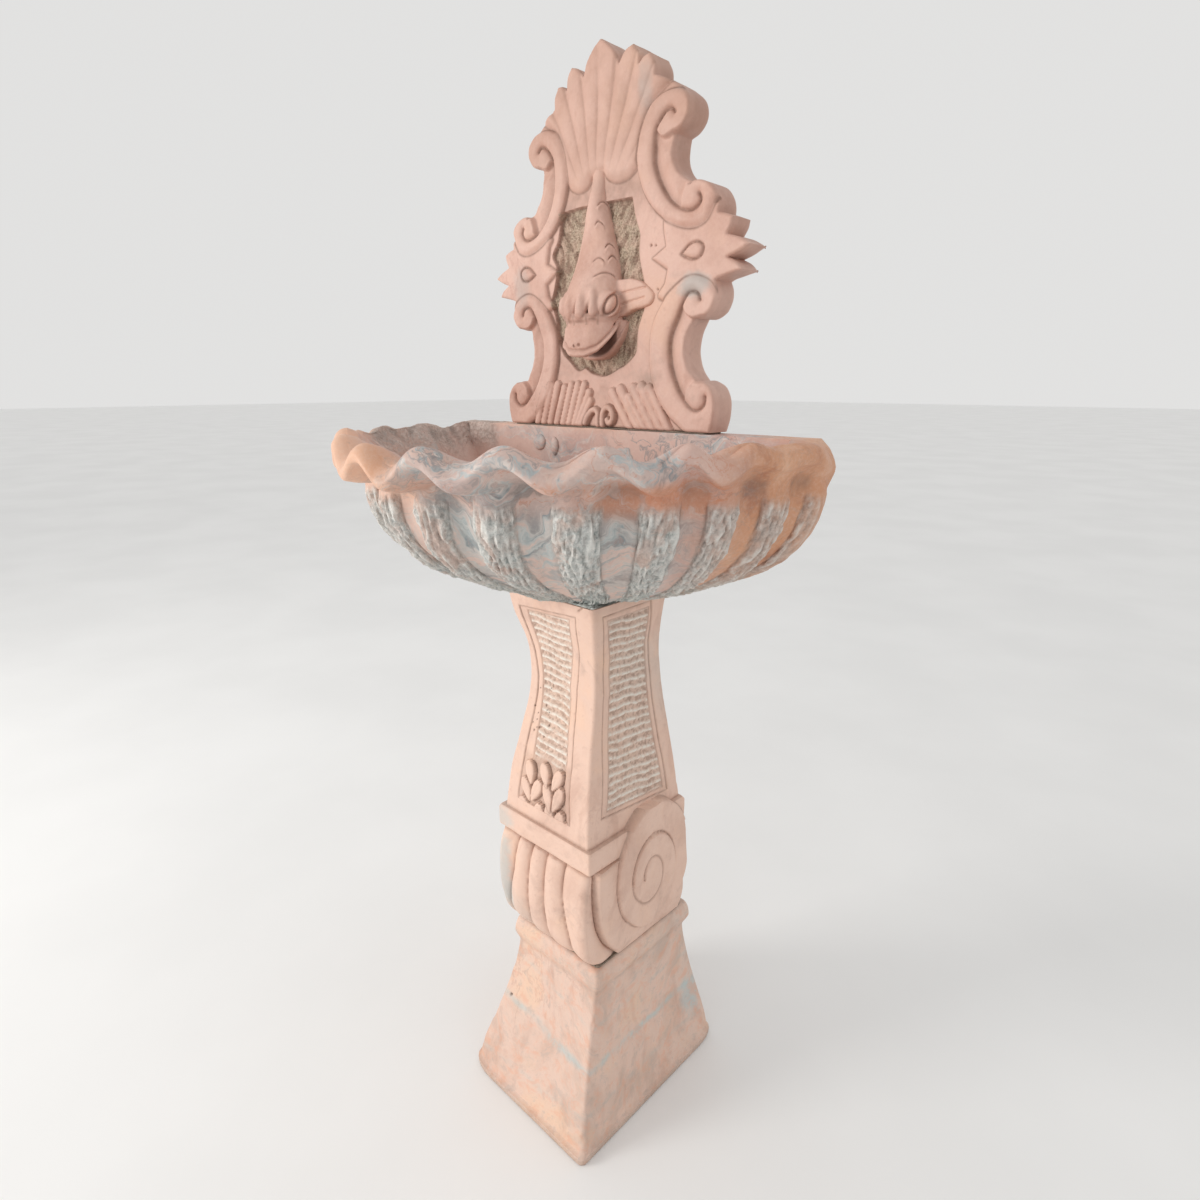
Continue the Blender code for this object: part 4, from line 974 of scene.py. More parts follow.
RECESS = [(-0.0810, 1.4545, 1), (-0.0440, 1.4570), (0.0080, 1.4570), (0.0560, 1.4560, 1), (0.0610, 1.4340), (0.0700, 1.4080), (0.0690, 1.3840), (0.0790, 1.3480), (0.0860, 1.3350, 1), (0.0810, 1.3200), (0.0690, 1.2890), (0.0660, 1.2600), (0.0480, 1.2440), (0.0330, 1.2380, 1), (0.0180, 1.2310), (0.0020, 1.2280), (-0.0180, 1.2320), (-0.0330, 1.2400, 1), (-0.0480, 1.2360), (-0.0640, 1.2480), (-0.0820, 1.2640), (-0.0900, 1.2880, 1), (-0.0960, 1.3150), (-0.1050, 1.3350, 1), (-0.0960, 1.3600), (-0.0920, 1.3830), (-0.1000, 1.4000), (-0.0870, 1.4210)]


def capsules(P, items):
    """Highest of several tapered rods with round backs: (x0, z0, r0, x1, z1, r1). Height 0 to 1."""
    best = np.zeros(len(P))
    for x0, z0, r0, x1, z1, r1 in items:
        a, b = np.array([x0, z0]), np.array([x1, z1])
        e = b - a
        t = np.clip(((P - a) @ e) / (e @ e), 0, 1)
        d = np.linalg.norm(P - a - t[:, None] * e, axis=1)
        r = r0 + (r1 - r0) * t
        best = np.maximum(best, np.sqrt(np.maximum(0, 1 - (d / r) ** 2)))
    return best


LEAVES_LEFT = [
    (-0.142, 1.150, 0.0066, -0.1180, 1.2080, 0.0062),
    (-0.128, 1.148, 0.0068, -0.1035, 1.2150, 0.0068),
    (-0.113, 1.148, 0.0068, -0.0905, 1.2160, 0.0070),
    (-0.098, 1.148, 0.0068, -0.0760, 1.2110, 0.0070),
    (-0.083, 1.148, 0.0068, -0.0610, 1.2150, 0.0070),
    (-0.070, 1.148, 0.0066, -0.0465, 1.2155, 0.0070),
    (-0.058, 1.148, 0.0064, -0.0325, 1.2160, 0.0068),
    (-0.050, 1.152, 0.0058, -0.0225, 1.2050, 0.0066),
    (-0.044, 1.154, 0.0052, -0.0200, 1.1930, 0.0060),
    (-0.040, 1.156, 0.0048, -0.0270, 1.1820, 0.0054),
]
LEAVES_RIGHT = [
    (0.0640, 1.148, 0.0066, 0.0240, 1.2050, 0.0080),
    (0.0800, 1.148, 0.0070, 0.0400, 1.2090, 0.0084),
    (0.0930, 1.148, 0.0060, 0.0560, 1.1990, 0.0066),
    (0.1060, 1.148, 0.0070, 0.0640, 1.2110, 0.0082),
    (0.1210, 1.148, 0.0070, 0.0790, 1.2130, 0.0082),
    (0.1350, 1.148, 0.0062, 0.0935, 1.2110, 0.0074),
]
CURL_LEFT = [(-0.0300, 1.1600), (-0.0245, 1.1700), (-0.0170, 1.1780), (-0.0085, 1.1800), (-0.0035, 1.1740), (-0.0030, 1.1640), (-0.0030, 1.1540)]
CURL_RIGHT = [(0.0060, 1.1560), (0.0055, 1.1680), (0.0080, 1.1790), (0.0155, 1.1840), (0.0235, 1.1800), (0.0265, 1.1715), (0.0240, 1.1640), (0.0180, 1.1620), (0.0155, 1.1660)]
DRILLED = ((0.0905, 1.3935, 0.0016), (0.0985, 1.3925, 0.0013), (0.1030, 1.3385, 0.0013))


def panel_relief(P):
    """Height of the carving forward of the frame's plane at points (x, z), with masks for tooling and for soil with
    painted shade along the carving's edges, grooves and hollows.
    """
    n = len(P)
    h = np.full(n, -0.0062)
    tool, soil_and_shade = np.zeros(n), np.zeros(n)

    def raise_to(h, sd, level, width=0.0017, extra=0.0):
        nonlocal soil_and_shade
        m = sstep(-width, width, sd)
        soil_and_shade = soil_and_shade * (1 - sstep(-0.0004, 0.0010, sd))
        return h * (1 - m) + (level + extra) * m

    # note() adds soil with painted shade along the carving's edges and in its grooves, cuts, strokes and holes
    def note(mask):
        nonlocal soil_and_shade
        soil_and_shade = np.maximum(soil_and_shade, np.clip(mask, 0, 1))

    recess = path(RECESS + [RECESS[0]])
    sd = signed(P, recess)
    m = sstep(-0.0010, 0.0018, sd)
    P3 = np.stack([P[:, 0], P[:, 1], np.zeros(n)], 1)
    # strokes of a pointed chisel, mostly upright and leaning away from the middle
    lean = 0.35 * np.sign(P[:, 0]) + 0.9 * (noise(P3, 0.05, 70) - 0.5)
    q = np.stack([P[:, 0] - lean * (P[:, 1] - 1.34), P[:, 1], np.zeros(n)], 1)
    strokes = noise(q, (0.0050, 0.0150, 1), 71)
    rough = 0.0046 * (strokes - 0.5) + 0.0018 * (noise(P3, 0.0032, 72) - 0.5)
    h = h * (1 - m) + (-0.0126 + rough) * m
    tool = np.maximum(tool, sstep(0.0, 0.0022, sd))
    note(0.9 * np.exp(-(((sd - 0.001) / 0.0020) ** 2)))
    note(0.75 * sstep(0.46, 0.26, strokes) * sstep(0.0, 0.002, sd))

    shell = np.vstack([path(SHELL_FOOT), [(0.09, 1.56), (0.16, 1.60), (0.16, 1.70), (-0.16, 1.70), (-0.16, 1.60), (-0.09, 1.56)]])
    sd_shell = signed(P, shell, 0.04)
    ang = np.degrees(np.arctan2(P[:, 0] + 0.003, P[:, 1] - 1.425))
    flute = np.abs(np.sin(np.pi * (ang + 0.6) / 9.6))
    fade = sstep(1.476, 1.525, P[:, 1]) * (1 - 0.6 * sstep(1.58, 1.64, P[:, 1]) * (np.abs(ang) < 8))
    pillow = -0.0060 * (1 - np.clip(sd_shell / 0.015, 0, 1)) ** 2
    dome = 0.0030 * np.exp(-(((P[:, 0] - 0.0) / 0.075) ** 2)) * np.exp(-(((P[:, 1] - 1.505) / 0.05) ** 2))
    flutes = -0.0028 * (1 - flute**0.70) * fade * (0.50 + 0.50 * sstep(1.500, 1.580, P[:, 1]))
    h = raise_to(h, sd_shell, -0.0010, 0.0018, pillow + dome + flutes)
    note(0.85 * np.exp(-(((sd_shell + 0.0010) / 0.0018) ** 2)))
    note(0.40 * (1 - flute) ** 4 * fade * (sd_shell > 0))
    # painted shade on the frame just under the shell's foot, uneven in strength
    shade = np.exp(-(((P[:, 1] - 1.466) / 0.017) ** 2)) * (np.abs(P[:, 0]) < 0.085) * sstep(0.0, -0.002, sd_shell)
    note((0.30 + 0.35 * noise(P3, 0.006, 83)) * shade)
    # darker in patches towards the panel's foot
    low_part = sstep(1.30, 1.18, P[:, 1]) * sstep(0.42, 0.62, fbm(P3, 0.030, 3, 84))
    note(0.22 * low_part)

    for side in (1, -1):
        def put(points):
            return points if side > 0 else to_left(points)

        star = path(put(STAR) + [put(STAR)[0]])
        sd = signed(P, star)
        h = raise_to(h, sd, -0.0014, 0.0016, -0.0030 * (1 - np.clip(sd / 0.007, 0, 1)) ** 2)
        note(0.80 * np.exp(-(((sd + 0.0010) / 0.0016) ** 2)) * (np.abs(P[:, 0]) < 0.15))
        tear = path(put(TEAR))
        d, _ = distance(P, tear)
        cut = np.exp(-((d / 0.0016) ** 2))
        h = h - 0.0030 * cut
        note(0.95 * cut)
        t_in = signed(P, tear)
        h = h + 0.0022 * np.clip(t_in / 0.006, 0, 1)
        for edge, groove, fillet, far in (
            (C_UPPER, GROOVE_UPPER, FILLET_UPPER, [(0.27, 1.46), (0.27, 1.56)]),
            (C_LOWER, GROOVE_LOWER, FILLET_LOWER, [(0.27, 1.13), (0.27, 1.32)]),
        ):
            line = path(put(edge))
            close = [(side * x, z) for x, z in (far if side > 0 else far[::-1])]
            band = np.vstack([line, close])
            sd = signed(P, band)
            g = path(put(groove))
            dg, _ = distance(P, g)
            # the band is a roll: highest between its edge and the groove
            roll = -0.0044 * (1 - np.clip(sd / 0.0095, 0, 1)) ** 2.0 - 0.0016 * np.exp(-((dg / 0.0060) ** 2)) + 0.0014
            h = raise_to(h, sd, 0.0004, 0.0016, roll)
            note(0.90 * np.exp(-(((sd + 0.0010) / 0.0016) ** 2)) * (sd < 0.002))
            f = path(put(fillet) + [put(fillet)[0]])
            sf = signed(P, f)
            m = sstep(-0.0018, 0.0026, sf)
            cove = -0.0062 + 0.0036 * np.clip((sf - 0.006) / 0.012, 0, 1)
            h = h * (1 - m) + cove * m
            note(0.45 * m * np.exp(-((dg / 0.007) ** 2)))
            cut = np.exp(-((dg / 0.0019) ** 2))
            soft = np.exp(-((dg / 0.0050) ** 2))
            h = h - 0.0036 * cut - 0.0014 * soft
            note(0.95 * cut)
    # leaves and the two small curls at the foot
    for items, high in ((LEAVES_LEFT, 0.0062), (LEAVES_RIGHT, 0.0068)):
        c = capsules(P, items)
        soil_and_shade = soil_and_shade * (1 - sstep(0.15, 0.4, c))
        lift = c**0.75
        h = np.where(c > 0, np.maximum(h, -0.0074 + high * (0.15 + 1.05 * lift)), h)
        note(0.80 * np.exp(-((c / 0.42) ** 2)) * (c > 0))
    for line in (CURL_LEFT, CURL_RIGHT):
        d, _ = distance(P, path(line))
        q = np.sqrt(np.maximum(0, 1 - (d / 0.0050) ** 2))
        h = np.where(q > 0, np.maximum(h, -0.0066 + 0.0084 * q**0.7), h)
        note(0.8 * np.exp(-(((d - 0.0050) / 0.0013) ** 2)))
    for x0, z0, r in DRILLED:
        hole = np.exp(-((((P[:, 0] - x0) ** 2 + (P[:, 1] - z0) ** 2) / r**2) ** 2))
        h = h - 0.0035 * hole
        note(hole)
    # hand-cut unevenness
    h = h + 0.0013 * (fbm(P3, 0.034, 3, 75) - 0.5) + 0.0006 * (noise(P3, 0.008, 79) - 0.5)
    return h, tool, soil_and_shade


def make_panel():
    right = OUTLINE_RIGHT
    apex = [(0.0010, 1.6500, 1)]
    left = to_left(right)
    outline = path(right + apex + left, 0.0014)
    foot = path([(left[-1][0], left[-1][1]), (right[0][0], right[0][1])], 0.0014)
    outline = np.vstack([outline, foot[1:-1]])
    # evenly spread points, denser lines of points along the carving's edges
    step = 0.00148
    lo, hi = outline.min(0), outline.max(0)
    zs = np.arange(lo[1], hi[1], step * 0.866)
    pts = []
    for k, z in enumerate(zs):
        xs = np.arange(lo[0] + (step * 0.5 if k % 2 else 0), hi[0], step)
        pts.append(np.stack([xs, np.full(len(xs), z)], 1))
    pts = np.vstack(pts)
    lines = [path(RECESS + [RECESS[0]]), path(SHELL_FOOT)]
    for side in (1, -1):
        for points in (STAR, TEAR, C_UPPER, C_LOWER, GROOVE_UPPER, GROOVE_LOWER):
            lines.append(path(points if side > 0 else to_left(points)))
    guides = []
    for line in lines:
        t = np.gradient(line, axis=0)
        t /= np.maximum(np.linalg.norm(t, axis=1, keepdims=True), 1e-9)
        nrm = np.stack([-t[:, 1], t[:, 0]], 1)
        for off in (-0.0008, 0.0008):
            guides.append(line + nrm * off)
    guides = np.vstack(guides)
    # drop guides that crowd each other, and grid points that crowd the guides
    cell = 0.00095
    seen, keep = set(), []
    for i, key in enumerate(map(tuple, np.floor(guides / cell).astype(int))):
        if key not in seen:
            seen.add(key)
            keep.append(i)
    guides = guides[keep]
    gcell = {}
    for key in map(tuple, np.floor(guides / 0.0011).astype(int)):
        gcell[key] = True
    keys = np.floor(pts / 0.0011).astype(int)
    crowd = np.zeros(len(pts), bool)
    packed = {(a * 100003 + b) for a, b in gcell}
    packed = np.array(sorted(packed))
    crowd = np.isin(keys[:, 0] * 100003 + keys[:, 1], packed)
    pts = np.vstack([guides, pts[~crowd]])
    sd = signed(pts, outline, 0.01)
    pts = pts[sd > 0.0009]
    allp = np.vstack([outline, pts])
    n = len(outline)
    edges = [(i, (i + 1) % n) for i in range(n)]
    vs, _, fs, orig, _, _ = delaunay_2d_cdt([Vector((float(a), float(b))) for a, b in allp], edges, [], 1, 1e-7)
    V = np.array([(v.x, v.y) for v in vs])
    tri = np.array([f for f in fs if len(f) == 3], int)
    # boundary ring, in order, in the new numbering
    where = {}
    for new, olds in enumerate(orig):
        for o in olds:
            if o < n:
                where[o] = new
    ring = [where[i] for i in range(n) if i in where]
    h, tool, soil_and_shade = panel_relief(V)
    d_edge, _ = distance(V, outline, True, 0.012)
    r = 0.0042
    t = np.clip(d_edge / r, 0, 1)
    h = h - r * (1 - np.sqrt(np.maximum(0, 1 - (1 - t) ** 2))) * 0.75
    h = np.minimum(h, 0.0040)
    # straight foot on the bed
    front = np.stack([V[:, 0], LEDGE_Y - h, V[:, 1]], 1)
    # rounding pulls the edge in a little
    count = len(front)
    verts = [front]
    faces = []
    area = 0.5 * np.sum(V[tri[0]][:, 0] * np.roll(V[tri[0]][:, 1], -1) - np.roll(V[tri[0]][:, 0], -1) * V[tri[0]][:, 1])
    a, b, c = V[tri[:, 0]], V[tri[:, 1]], V[tri[:, 2]]
    cross = (b[:, 0] - a[:, 0]) * (c[:, 1] - a[:, 1]) - (b[:, 1] - a[:, 1]) * (c[:, 0] - a[:, 0])
    good = np.abs(cross) > 1e-12
    tri, cross = tri[good], cross[good]
    tri = np.where((cross > 0)[:, None], tri, tri[:, ::-1])  # looks towards -Y: (x, z) counter-clockwise seen from the front
    faces.append(tri)
    ring = np.array(ring)
    R = V[ring]
    m = len(ring)
    nrm = np.roll(R, -1, 0) - np.roll(R, 1, 0)
    nrm = np.stack([nrm[:, 1], -nrm[:, 0]], 1)
    nrm /= np.maximum(np.linalg.norm(nrm, axis=1, keepdims=True), 1e-9)
    y_front = front[ring, 1]
    levels = []
    depths = [0.0, 0.03, 0.08, 0.18, 0.32, 0.48, 0.64, 0.80, 0.90, 0.96, 1.0]
    prev = ring
    base = count
    tool_all, soil_and_shade_all = [tool], [soil_and_shade]
    back_y = BACK_Y
    for k, d in enumerate(depths[1:]):
        y = y_front + (back_y - y_front) * d
        inset = 0.0
        if d > 0.93:
            inset = 0.0030 * ((d - 0.93) / 0.07) ** 2
        Pk = R - nrm * inset
        rough = 0.0007 * (noise(np.stack([Pk[:, 0], y, Pk[:, 1]], 1), 0.012, 81) - 0.5) * (1 if d < 1 else 0)
        Pk = Pk + nrm * rough[:, None]
        Pk[:, 1] = np.maximum(Pk[:, 1], PANEL_Z0)
        verts.append(np.stack([Pk[:, 0], y, Pk[:, 1]], 1))
        cur = base + np.arange(m)
        i = np.arange(m)
        j = (i + 1) % m
        faces.append(np.stack([prev[i], cur[i], cur[j], prev[j]], 1))
        prev = cur
        base += m
        tool_all.append(np.zeros(m))
        # the edge faces are darkened a little, most in the middle of their depth: soil with painted shade
        soil_and_shade_all.append(np.full(m, 0.05 + 0.15 * (0.3 < d < 0.9)))
    # back face
    back2 = np.array(verts[-1])[:, [0, 2]]
    vb, _, fb, ob_, _, _ = delaunay_2d_cdt([Vector((float(a), float(b))) for a, b in back2], [(i, (i + 1) % m) for i in range(m)], [], 1, 1e-7)
    maps = {}
    for new, olds in enumerate(ob_):
        for o in olds:
            maps[new] = prev[o]
            break
    extra = [new for new in range(len(vb)) if new not in maps]
    for e in extra:
        maps[e] = base
        verts.append(np.array([[vb[e].x, back_y, vb[e].y]]))
        tool_all.append(np.zeros(1))
        soil_and_shade_all.append(np.zeros(1))
        base += 1
    tb = []
    for f in fb:
        if len(f) == 3:
            p = [vb[i] for i in f]
            cr = (p[1].x - p[0].x) * (p[2].y - p[0].y) - (p[1].y - p[0].y) * (p[2].x - p[0].x)
            idx = [int(maps[i]) for i in f]
            tb.append(idx[::-1] if cr > 0 else idx)
    faces.append(np.array(tb))
    verts = np.vstack(verts)
    verts[:, 2] = np.clip(verts[:, 2], PANEL_Z0, 1.6496)
    att = {"tool": np.concatenate(tool_all), "soil_and_shade": np.concatenate(soil_and_shade_all), "shaded_pit": np.zeros(len(verts))}
    return mesh_object("back_panel_stone", verts, faces, att, 60)


# ---------------------------------------------------------------- dolphin
DX = -0.008  # its middle
BODY = (  # height, then the section's half width, half depth and centre
    (1.305, 0.0475, 0.0370, -0.0080, 0.0097),
    (1.320, 0.0480, 0.0375, -0.0080, 0.0100),
    (1.338, 0.0460, 0.0375, -0.0080, 0.0130),
    (1.358, 0.0420, 0.0355, -0.0080, 0.0180),
    (1.377, 0.0385, 0.0290, -0.0080, 0.0215),
    (1.397, 0.0340, 0.0235, -0.0080, 0.0225),
    (1.416, 0.0275, 0.0215, -0.0080, 0.0225),
    (1.454, 0.0165, 0.0200, -0.0070, 0.0225),
    (1.483, 0.0130, 0.0125, -0.0050, 0.0225),
    (1.510, 0.0125, 0.0115, -0.0040, 0.0225),
)
FIN = [(0.0300, 1.3560, 1), (0.0540, 1.3555), (0.0735, 1.3510), (0.0887, 1.3420), (0.0985, 1.3326), (0.0936, 1.3217), (0.0800, 1.3175), (0.0635, 1.3150), (0.0450, 1.3080, 1), (0.0200, 1.3080, 1)]
FIN_GROOVES = (((0.0440, 1.3375), (0.0843, 1.3424)), ((0.0440, 1.3230), (0.0846, 1.3299)))
LOCKS = ((-78, 1.310), (-50, 1.306), (-22, 1.302), (8, 1.301), (34, 1.304))
SCALES = ((59, 1.453, 26), (36, 1.428, 17), (62, 1.3986, 16), (32, 1.3806, 15), (68, 1.383, 14), (53, 1.3604, 26))


def smin(a, b, k):
    h = np.clip(0.5 + 0.5 * (b - a) / k, 0, 1)
    return b * (1 - h) + a * h - k * h * (1 - h)


def smax(a, b, k):
    return -smin(-a, -b, k)


def surface_nets(F, origin, h):
    """Quads of the surface F = 0 on a grid, one point in each cell that the surface crosses."""
    S = F < 0
    nx, ny, nz = F.shape
    corners = [(0, 0, 0), (1, 0, 0), (0, 1, 0), (1, 1, 0), (0, 0, 1), (1, 0, 1), (0, 1, 1), (1, 1, 1)]
    count = sum(S[a : nx - 1 + a, b : ny - 1 + b, c : nz - 1 + c].astype(np.int8) for a, b, c in corners)
    cells = np.argwhere((count > 0) & (count < 8))
    index = -np.ones((nx - 1, ny - 1, nz - 1), int)
    index[tuple(cells.T)] = np.arange(len(cells))
    total = np.zeros((len(cells), 3))
    hits = np.zeros(len(cells))
    for p in range(8):
        for q in range(p + 1, 8):
            a, b = np.array(corners[p]), np.array(corners[q])
            if np.abs(a - b).sum() != 1:
                continue
            fa = F[tuple((cells + a).T)]
            fb = F[tuple((cells + b).T)]
            m = (fa < 0) != (fb < 0)
            t = np.where(m, fa / np.where(m, fa - fb, 1.0), 0.0)
            total += np.where(m[:, None], a + t[:, None] * (b - a), 0.0)
            hits += m
    V = origin + h * (cells + total / hits[:, None])
    quads = []
    for axis in range(3):
        d = np.zeros(3, int)
        d[axis] = 1
        sl0 = [slice(1, -1)] * 3
        sl1 = [slice(1, -1)] * 3
        sl0[axis] = slice(0, -1)
        sl1[axis] = slice(1, None)
        a, b = S[tuple(sl0)], S[tuple(sl1)]
        e = np.argwhere(a != b)
        off = np.array([1, 1, 1])
        off[axis] = 0
        g = e + off
        u, v = np.zeros(3, int), np.zeros(3, int)
        u[(axis + 1) % 3] = 1
        v[(axis + 2) % 3] = 1
        q = np.stack([index[tuple((g - u - v).T)], index[tuple((g - v).T)], index[tuple(g.T)], index[tuple((g - u).T)]], 1)
        flip = a[tuple(e.T)]
        q = np.where(flip[:, None], q, q[:, ::-1])
        quads.append(q)
    return V, np.vstack(quads)


def almond(p, dz):
    """The eye's outline on the flank: 1 on the pointed oval that leans back at its top, the distance from its middle, and how far round to the lower back a point lies."""
    c, s = math.cos(math.radians(31)), math.sin(math.radians(31))
    e1, e2 = p * c - dz * s, p * s + dz * c
    pinch = 1 + 0.55 * np.clip(e2 / 0.0150, 0, 1.2) ** 2
    rr = np.sqrt((e1 * pinch / 0.0080) ** 2 + (e2 / 0.0146) ** 2)
    return rr, np.hypot(p, dz), 0.35 + 0.65 * sstep(-0.006, 0.010, p - 0.4 * dz)


def bill_rim(x, y):
    """Height of the upper bill's edge round the mouth."""
    phi = np.degrees(np.arctan2((x - DX) / 0.047, -(y - 0.0097) / 0.0367))
    rim_right = np.interp(np.abs(phi), (0, 20, 42, 68, 88, 103, 125), (1.254, 1.254, 1.260, 1.2775, 1.292, 1.302, 1.312))
    rim_left = np.interp(np.abs(phi), (0, 16, 28, 50, 68, 88, 103, 125), (1.254, 1.2555, 1.263, 1.268, 1.2775, 1.292, 1.302, 1.312))
    return np.where(phi > 0, rim_right, rim_left)


def make_dolphin():
    step = 0.00108
    lo = np.array([-0.067, -0.0365, 1.2435])
    hi = np.array([0.1035, 0.0290, 1.5140])
    n = ((hi - lo) / step).astype(int)
    X, Y, Z = np.meshgrid(*[lo[k] + step * np.arange(n[k]) for k in range(3)], indexing="ij")
    shape = X.shape
    x, y, z = X.ravel(), Y.ravel(), Z.ravel()
    S = stations(BODY, np.clip(z, BODY[0][0], BODY[-1][0]))
    a, b = S[:, 0], S[:, 1]
    u, v = x - S[:, 2], y - S[:, 3]
    k = np.sqrt((u / a) ** 2 + (v / b) ** 2)
    around = np.degrees(np.arctan2(u / a, -v / b))  # 0 faces forward, positive to the right
    f = (k - 1) * np.minimum(a, b)
    f = smax(f, 1.3120 - z, 0.003)
    f = smax(f, z - 1.5085, 0.004)
    # brow: a row of round locks over the bill, with furrows running up between them
    for deg, tip in LOCKS:
        w = math.radians(deg)
        cx, cy = DX + 0.0425 * math.sin(w), 0.0097 - 0.0320 * math.cos(w)
        up = z - tip - 0.0150
        lock = np.sqrt((x - cx) ** 2 + (y - cy) ** 2 + (up / np.where(up < 0, 1.45, 2.2)) ** 2) - 0.0103
        f = smin(f, lock, 0.0026)
    for deg in (-64, -36, -7, 21, 44):
        drift = deg + 260 * np.clip(z - 1.306, 0, 1)
        f = f + 0.0034 * np.exp(-(((around - drift) / 3.0) ** 2)) * sstep(1.340, 1.316, z) * (z > 1.296)
    # eyes on both flanks
    for side in (1, -1):
        w = math.radians(65) * side
        nrm = np.array([math.sin(w) / 0.0475, -math.cos(w) / 0.037])
        nrm /= np.linalg.norm(nrm)
        c = np.array([DX + 0.0475 * math.sin(w), 0.0099 - 0.0372 * math.cos(w), 1.3231])
        dx, dy, dz = x - c[0], y - c[1], z - c[2]
        p = -dx * nrm[1] * side + dy * abs(nrm[0])
        out = dx * nrm[0] + dy * nrm[1]
        mound = np.sqrt((dx + 0.0100 * nrm[0]) ** 2 + (dy + 0.0100 * nrm[1]) ** 2 + (dz * 0.90) ** 2) - 0.0185
        f = smin(f, mound, 0.0035)
        rr, rad, lid = almond(p - 0.0020, dz)
        here = np.abs(out - 0.004) < 0.012
        f = f + 0.0034 * np.exp(-((((rr - 1) * 0.0090) / 0.0014) ** 2)) * here
        f = f - 0.0022 * np.clip(1 - (rr / 0.75) ** 2, 0, 1) * here - 0.0012 * np.exp(-((((rr - 1.45) * 0.0090) / 0.0022) ** 2)) * here
        f = f + 0.0020 * np.exp(-(((rad - 0.0192) / 0.0026) ** 2)) * here * lid
    # scale arcs on the right flank
    for deg, zc, wide in SCALES:
        q = (around - deg) / wide
        curve = zc + 0.0040 - 0.0062 * np.clip(np.abs(q), 0, 1.2) ** 2
        m = sstep(1.05, 0.80, np.abs(q))
        f = f + 0.0022 * np.exp(-(((z - curve) / 0.0012) ** 2)) * m - 0.0010 * np.exp(-(((z - curve + 0.0034) / 0.0030) ** 2)) * m
    # fin on the right flank, with two grooves
    flat = np.stack([X[:, 0, :].ravel(), Z[:, 0, :].ravel()], 1)
    fin_edge = path(FIN + [FIN[0]], 0.003)
    far = signed(flat, fin_edge, 0.30)
    cuts = np.zeros(len(flat))
    for g0, g1 in FIN_GROOVES:
        d, _ = distance(flat, np.array([g0, g1]), reach=0.01)
        cuts = np.maximum(cuts, np.exp(-((d / 0.0013) ** 2)))
    plan = lambda grid: np.broadcast_to(grid.reshape(shape[0], 1, shape[2]), shape).ravel()
    far, cuts = plan(far), plan(cuts)
    front = 0.0120 - 0.0028 * np.clip(far / 0.012, 0, 1) ** 0.5 + 0.06 * np.clip(x - 0.060, 0, 1)
    f = smin(f, smax(-far, front - y, 0.0030) + 0.0024 * cuts, 0.0022)
    # upper bill: a hollow spoon, its rim rising to the corners of the mouth
    rim = bill_rim(x, y)
    flare = 0.0024 * sstep(1.298, 1.262, z) - 0.0022 * np.exp(-(((z - 1.2985) / 0.0040) ** 2))
    k1 = np.sqrt(((x - DX) / (0.0470 + flare)) ** 2 + ((y - 0.0097) / (0.0367 + flare)) ** 2)
    outer = (k1 - 1) * 0.0367
    k2 = np.sqrt(((x - DX) / 0.0400) ** 2 + ((y - 0.0097) / 0.0297) ** 2)
    hollow = (k2 - 1) * 0.0297
    bill = smax(outer, -hollow, 0.0020)
    bill = smax(bill, rim - z, 0.0026)
    bill = smax(bill, z - 1.312, 0.003)
    bill = smax(bill, y - 0.0185, 0.002)
    bill = bill - 0.0015 * np.exp(-(((z - rim - 0.0032) / 0.0026) ** 2)) + 0.0021 * np.exp(-(((z - rim - 0.0088) / 0.0020) ** 2))
    bill = bill - 0.0009 * np.exp(-(((x - DX) / 0.0070) ** 2)) * (z > 1.268)
    for nx, nz in ((-0.0106, 1.2688), (-0.0016, 1.2699)):
        bill = np.maximum(bill, -(np.sqrt((x - nx) ** 2 + (y + 0.0290) ** 2 + (z - nz) ** 2) - 0.0024))
    f = smin(f, bill, 0.0012)
    # lower bill behind it
    rim2 = 1.2505 + 0.0400 * np.clip(np.abs(x - DX) / 0.0540, 0, 1.3) ** 3
    k3 = np.sqrt(((x - DX) / 0.0540) ** 2 + ((y - 0.0225) / 0.0150) ** 2)
    low = (k3 - 1) * 0.0150
    low = smax(low, rim2 - z, 0.0030)
    low = smax(low, z - 1.305, 0.003)
    low = low - 0.0014 * np.exp(-(((z - rim2 - 0.0040) / 0.0024) ** 2))
    # room for the spout's tube and the water
    tube = np.maximum(np.hypot(x, z - 1.285) - 0.0084, y - 0.0105)
    tube = np.maximum(tube, -0.0058 - y)
    f = smin(f, low, 0.0012)
    f = smax(f, -tube, 0.0010)
    # its back lies inside the panel
    f = smax(f, y - 0.0262, 0.0010)
    P = np.stack([x, y, z], 1)
    f = f + 0.0013 * (noise(P, 0.015, 91) - 0.5) + 0.0006 * (noise(P, 0.005, 92) - 0.5)
    F = f.reshape(shape)
    F[0], F[-1], F[:, 0], F[:, -1], F[:, :, 0], F[:, :, -1] = 1, 1, 1, 1, 1, 1
    V, Q = surface_nets(F, lo, step)
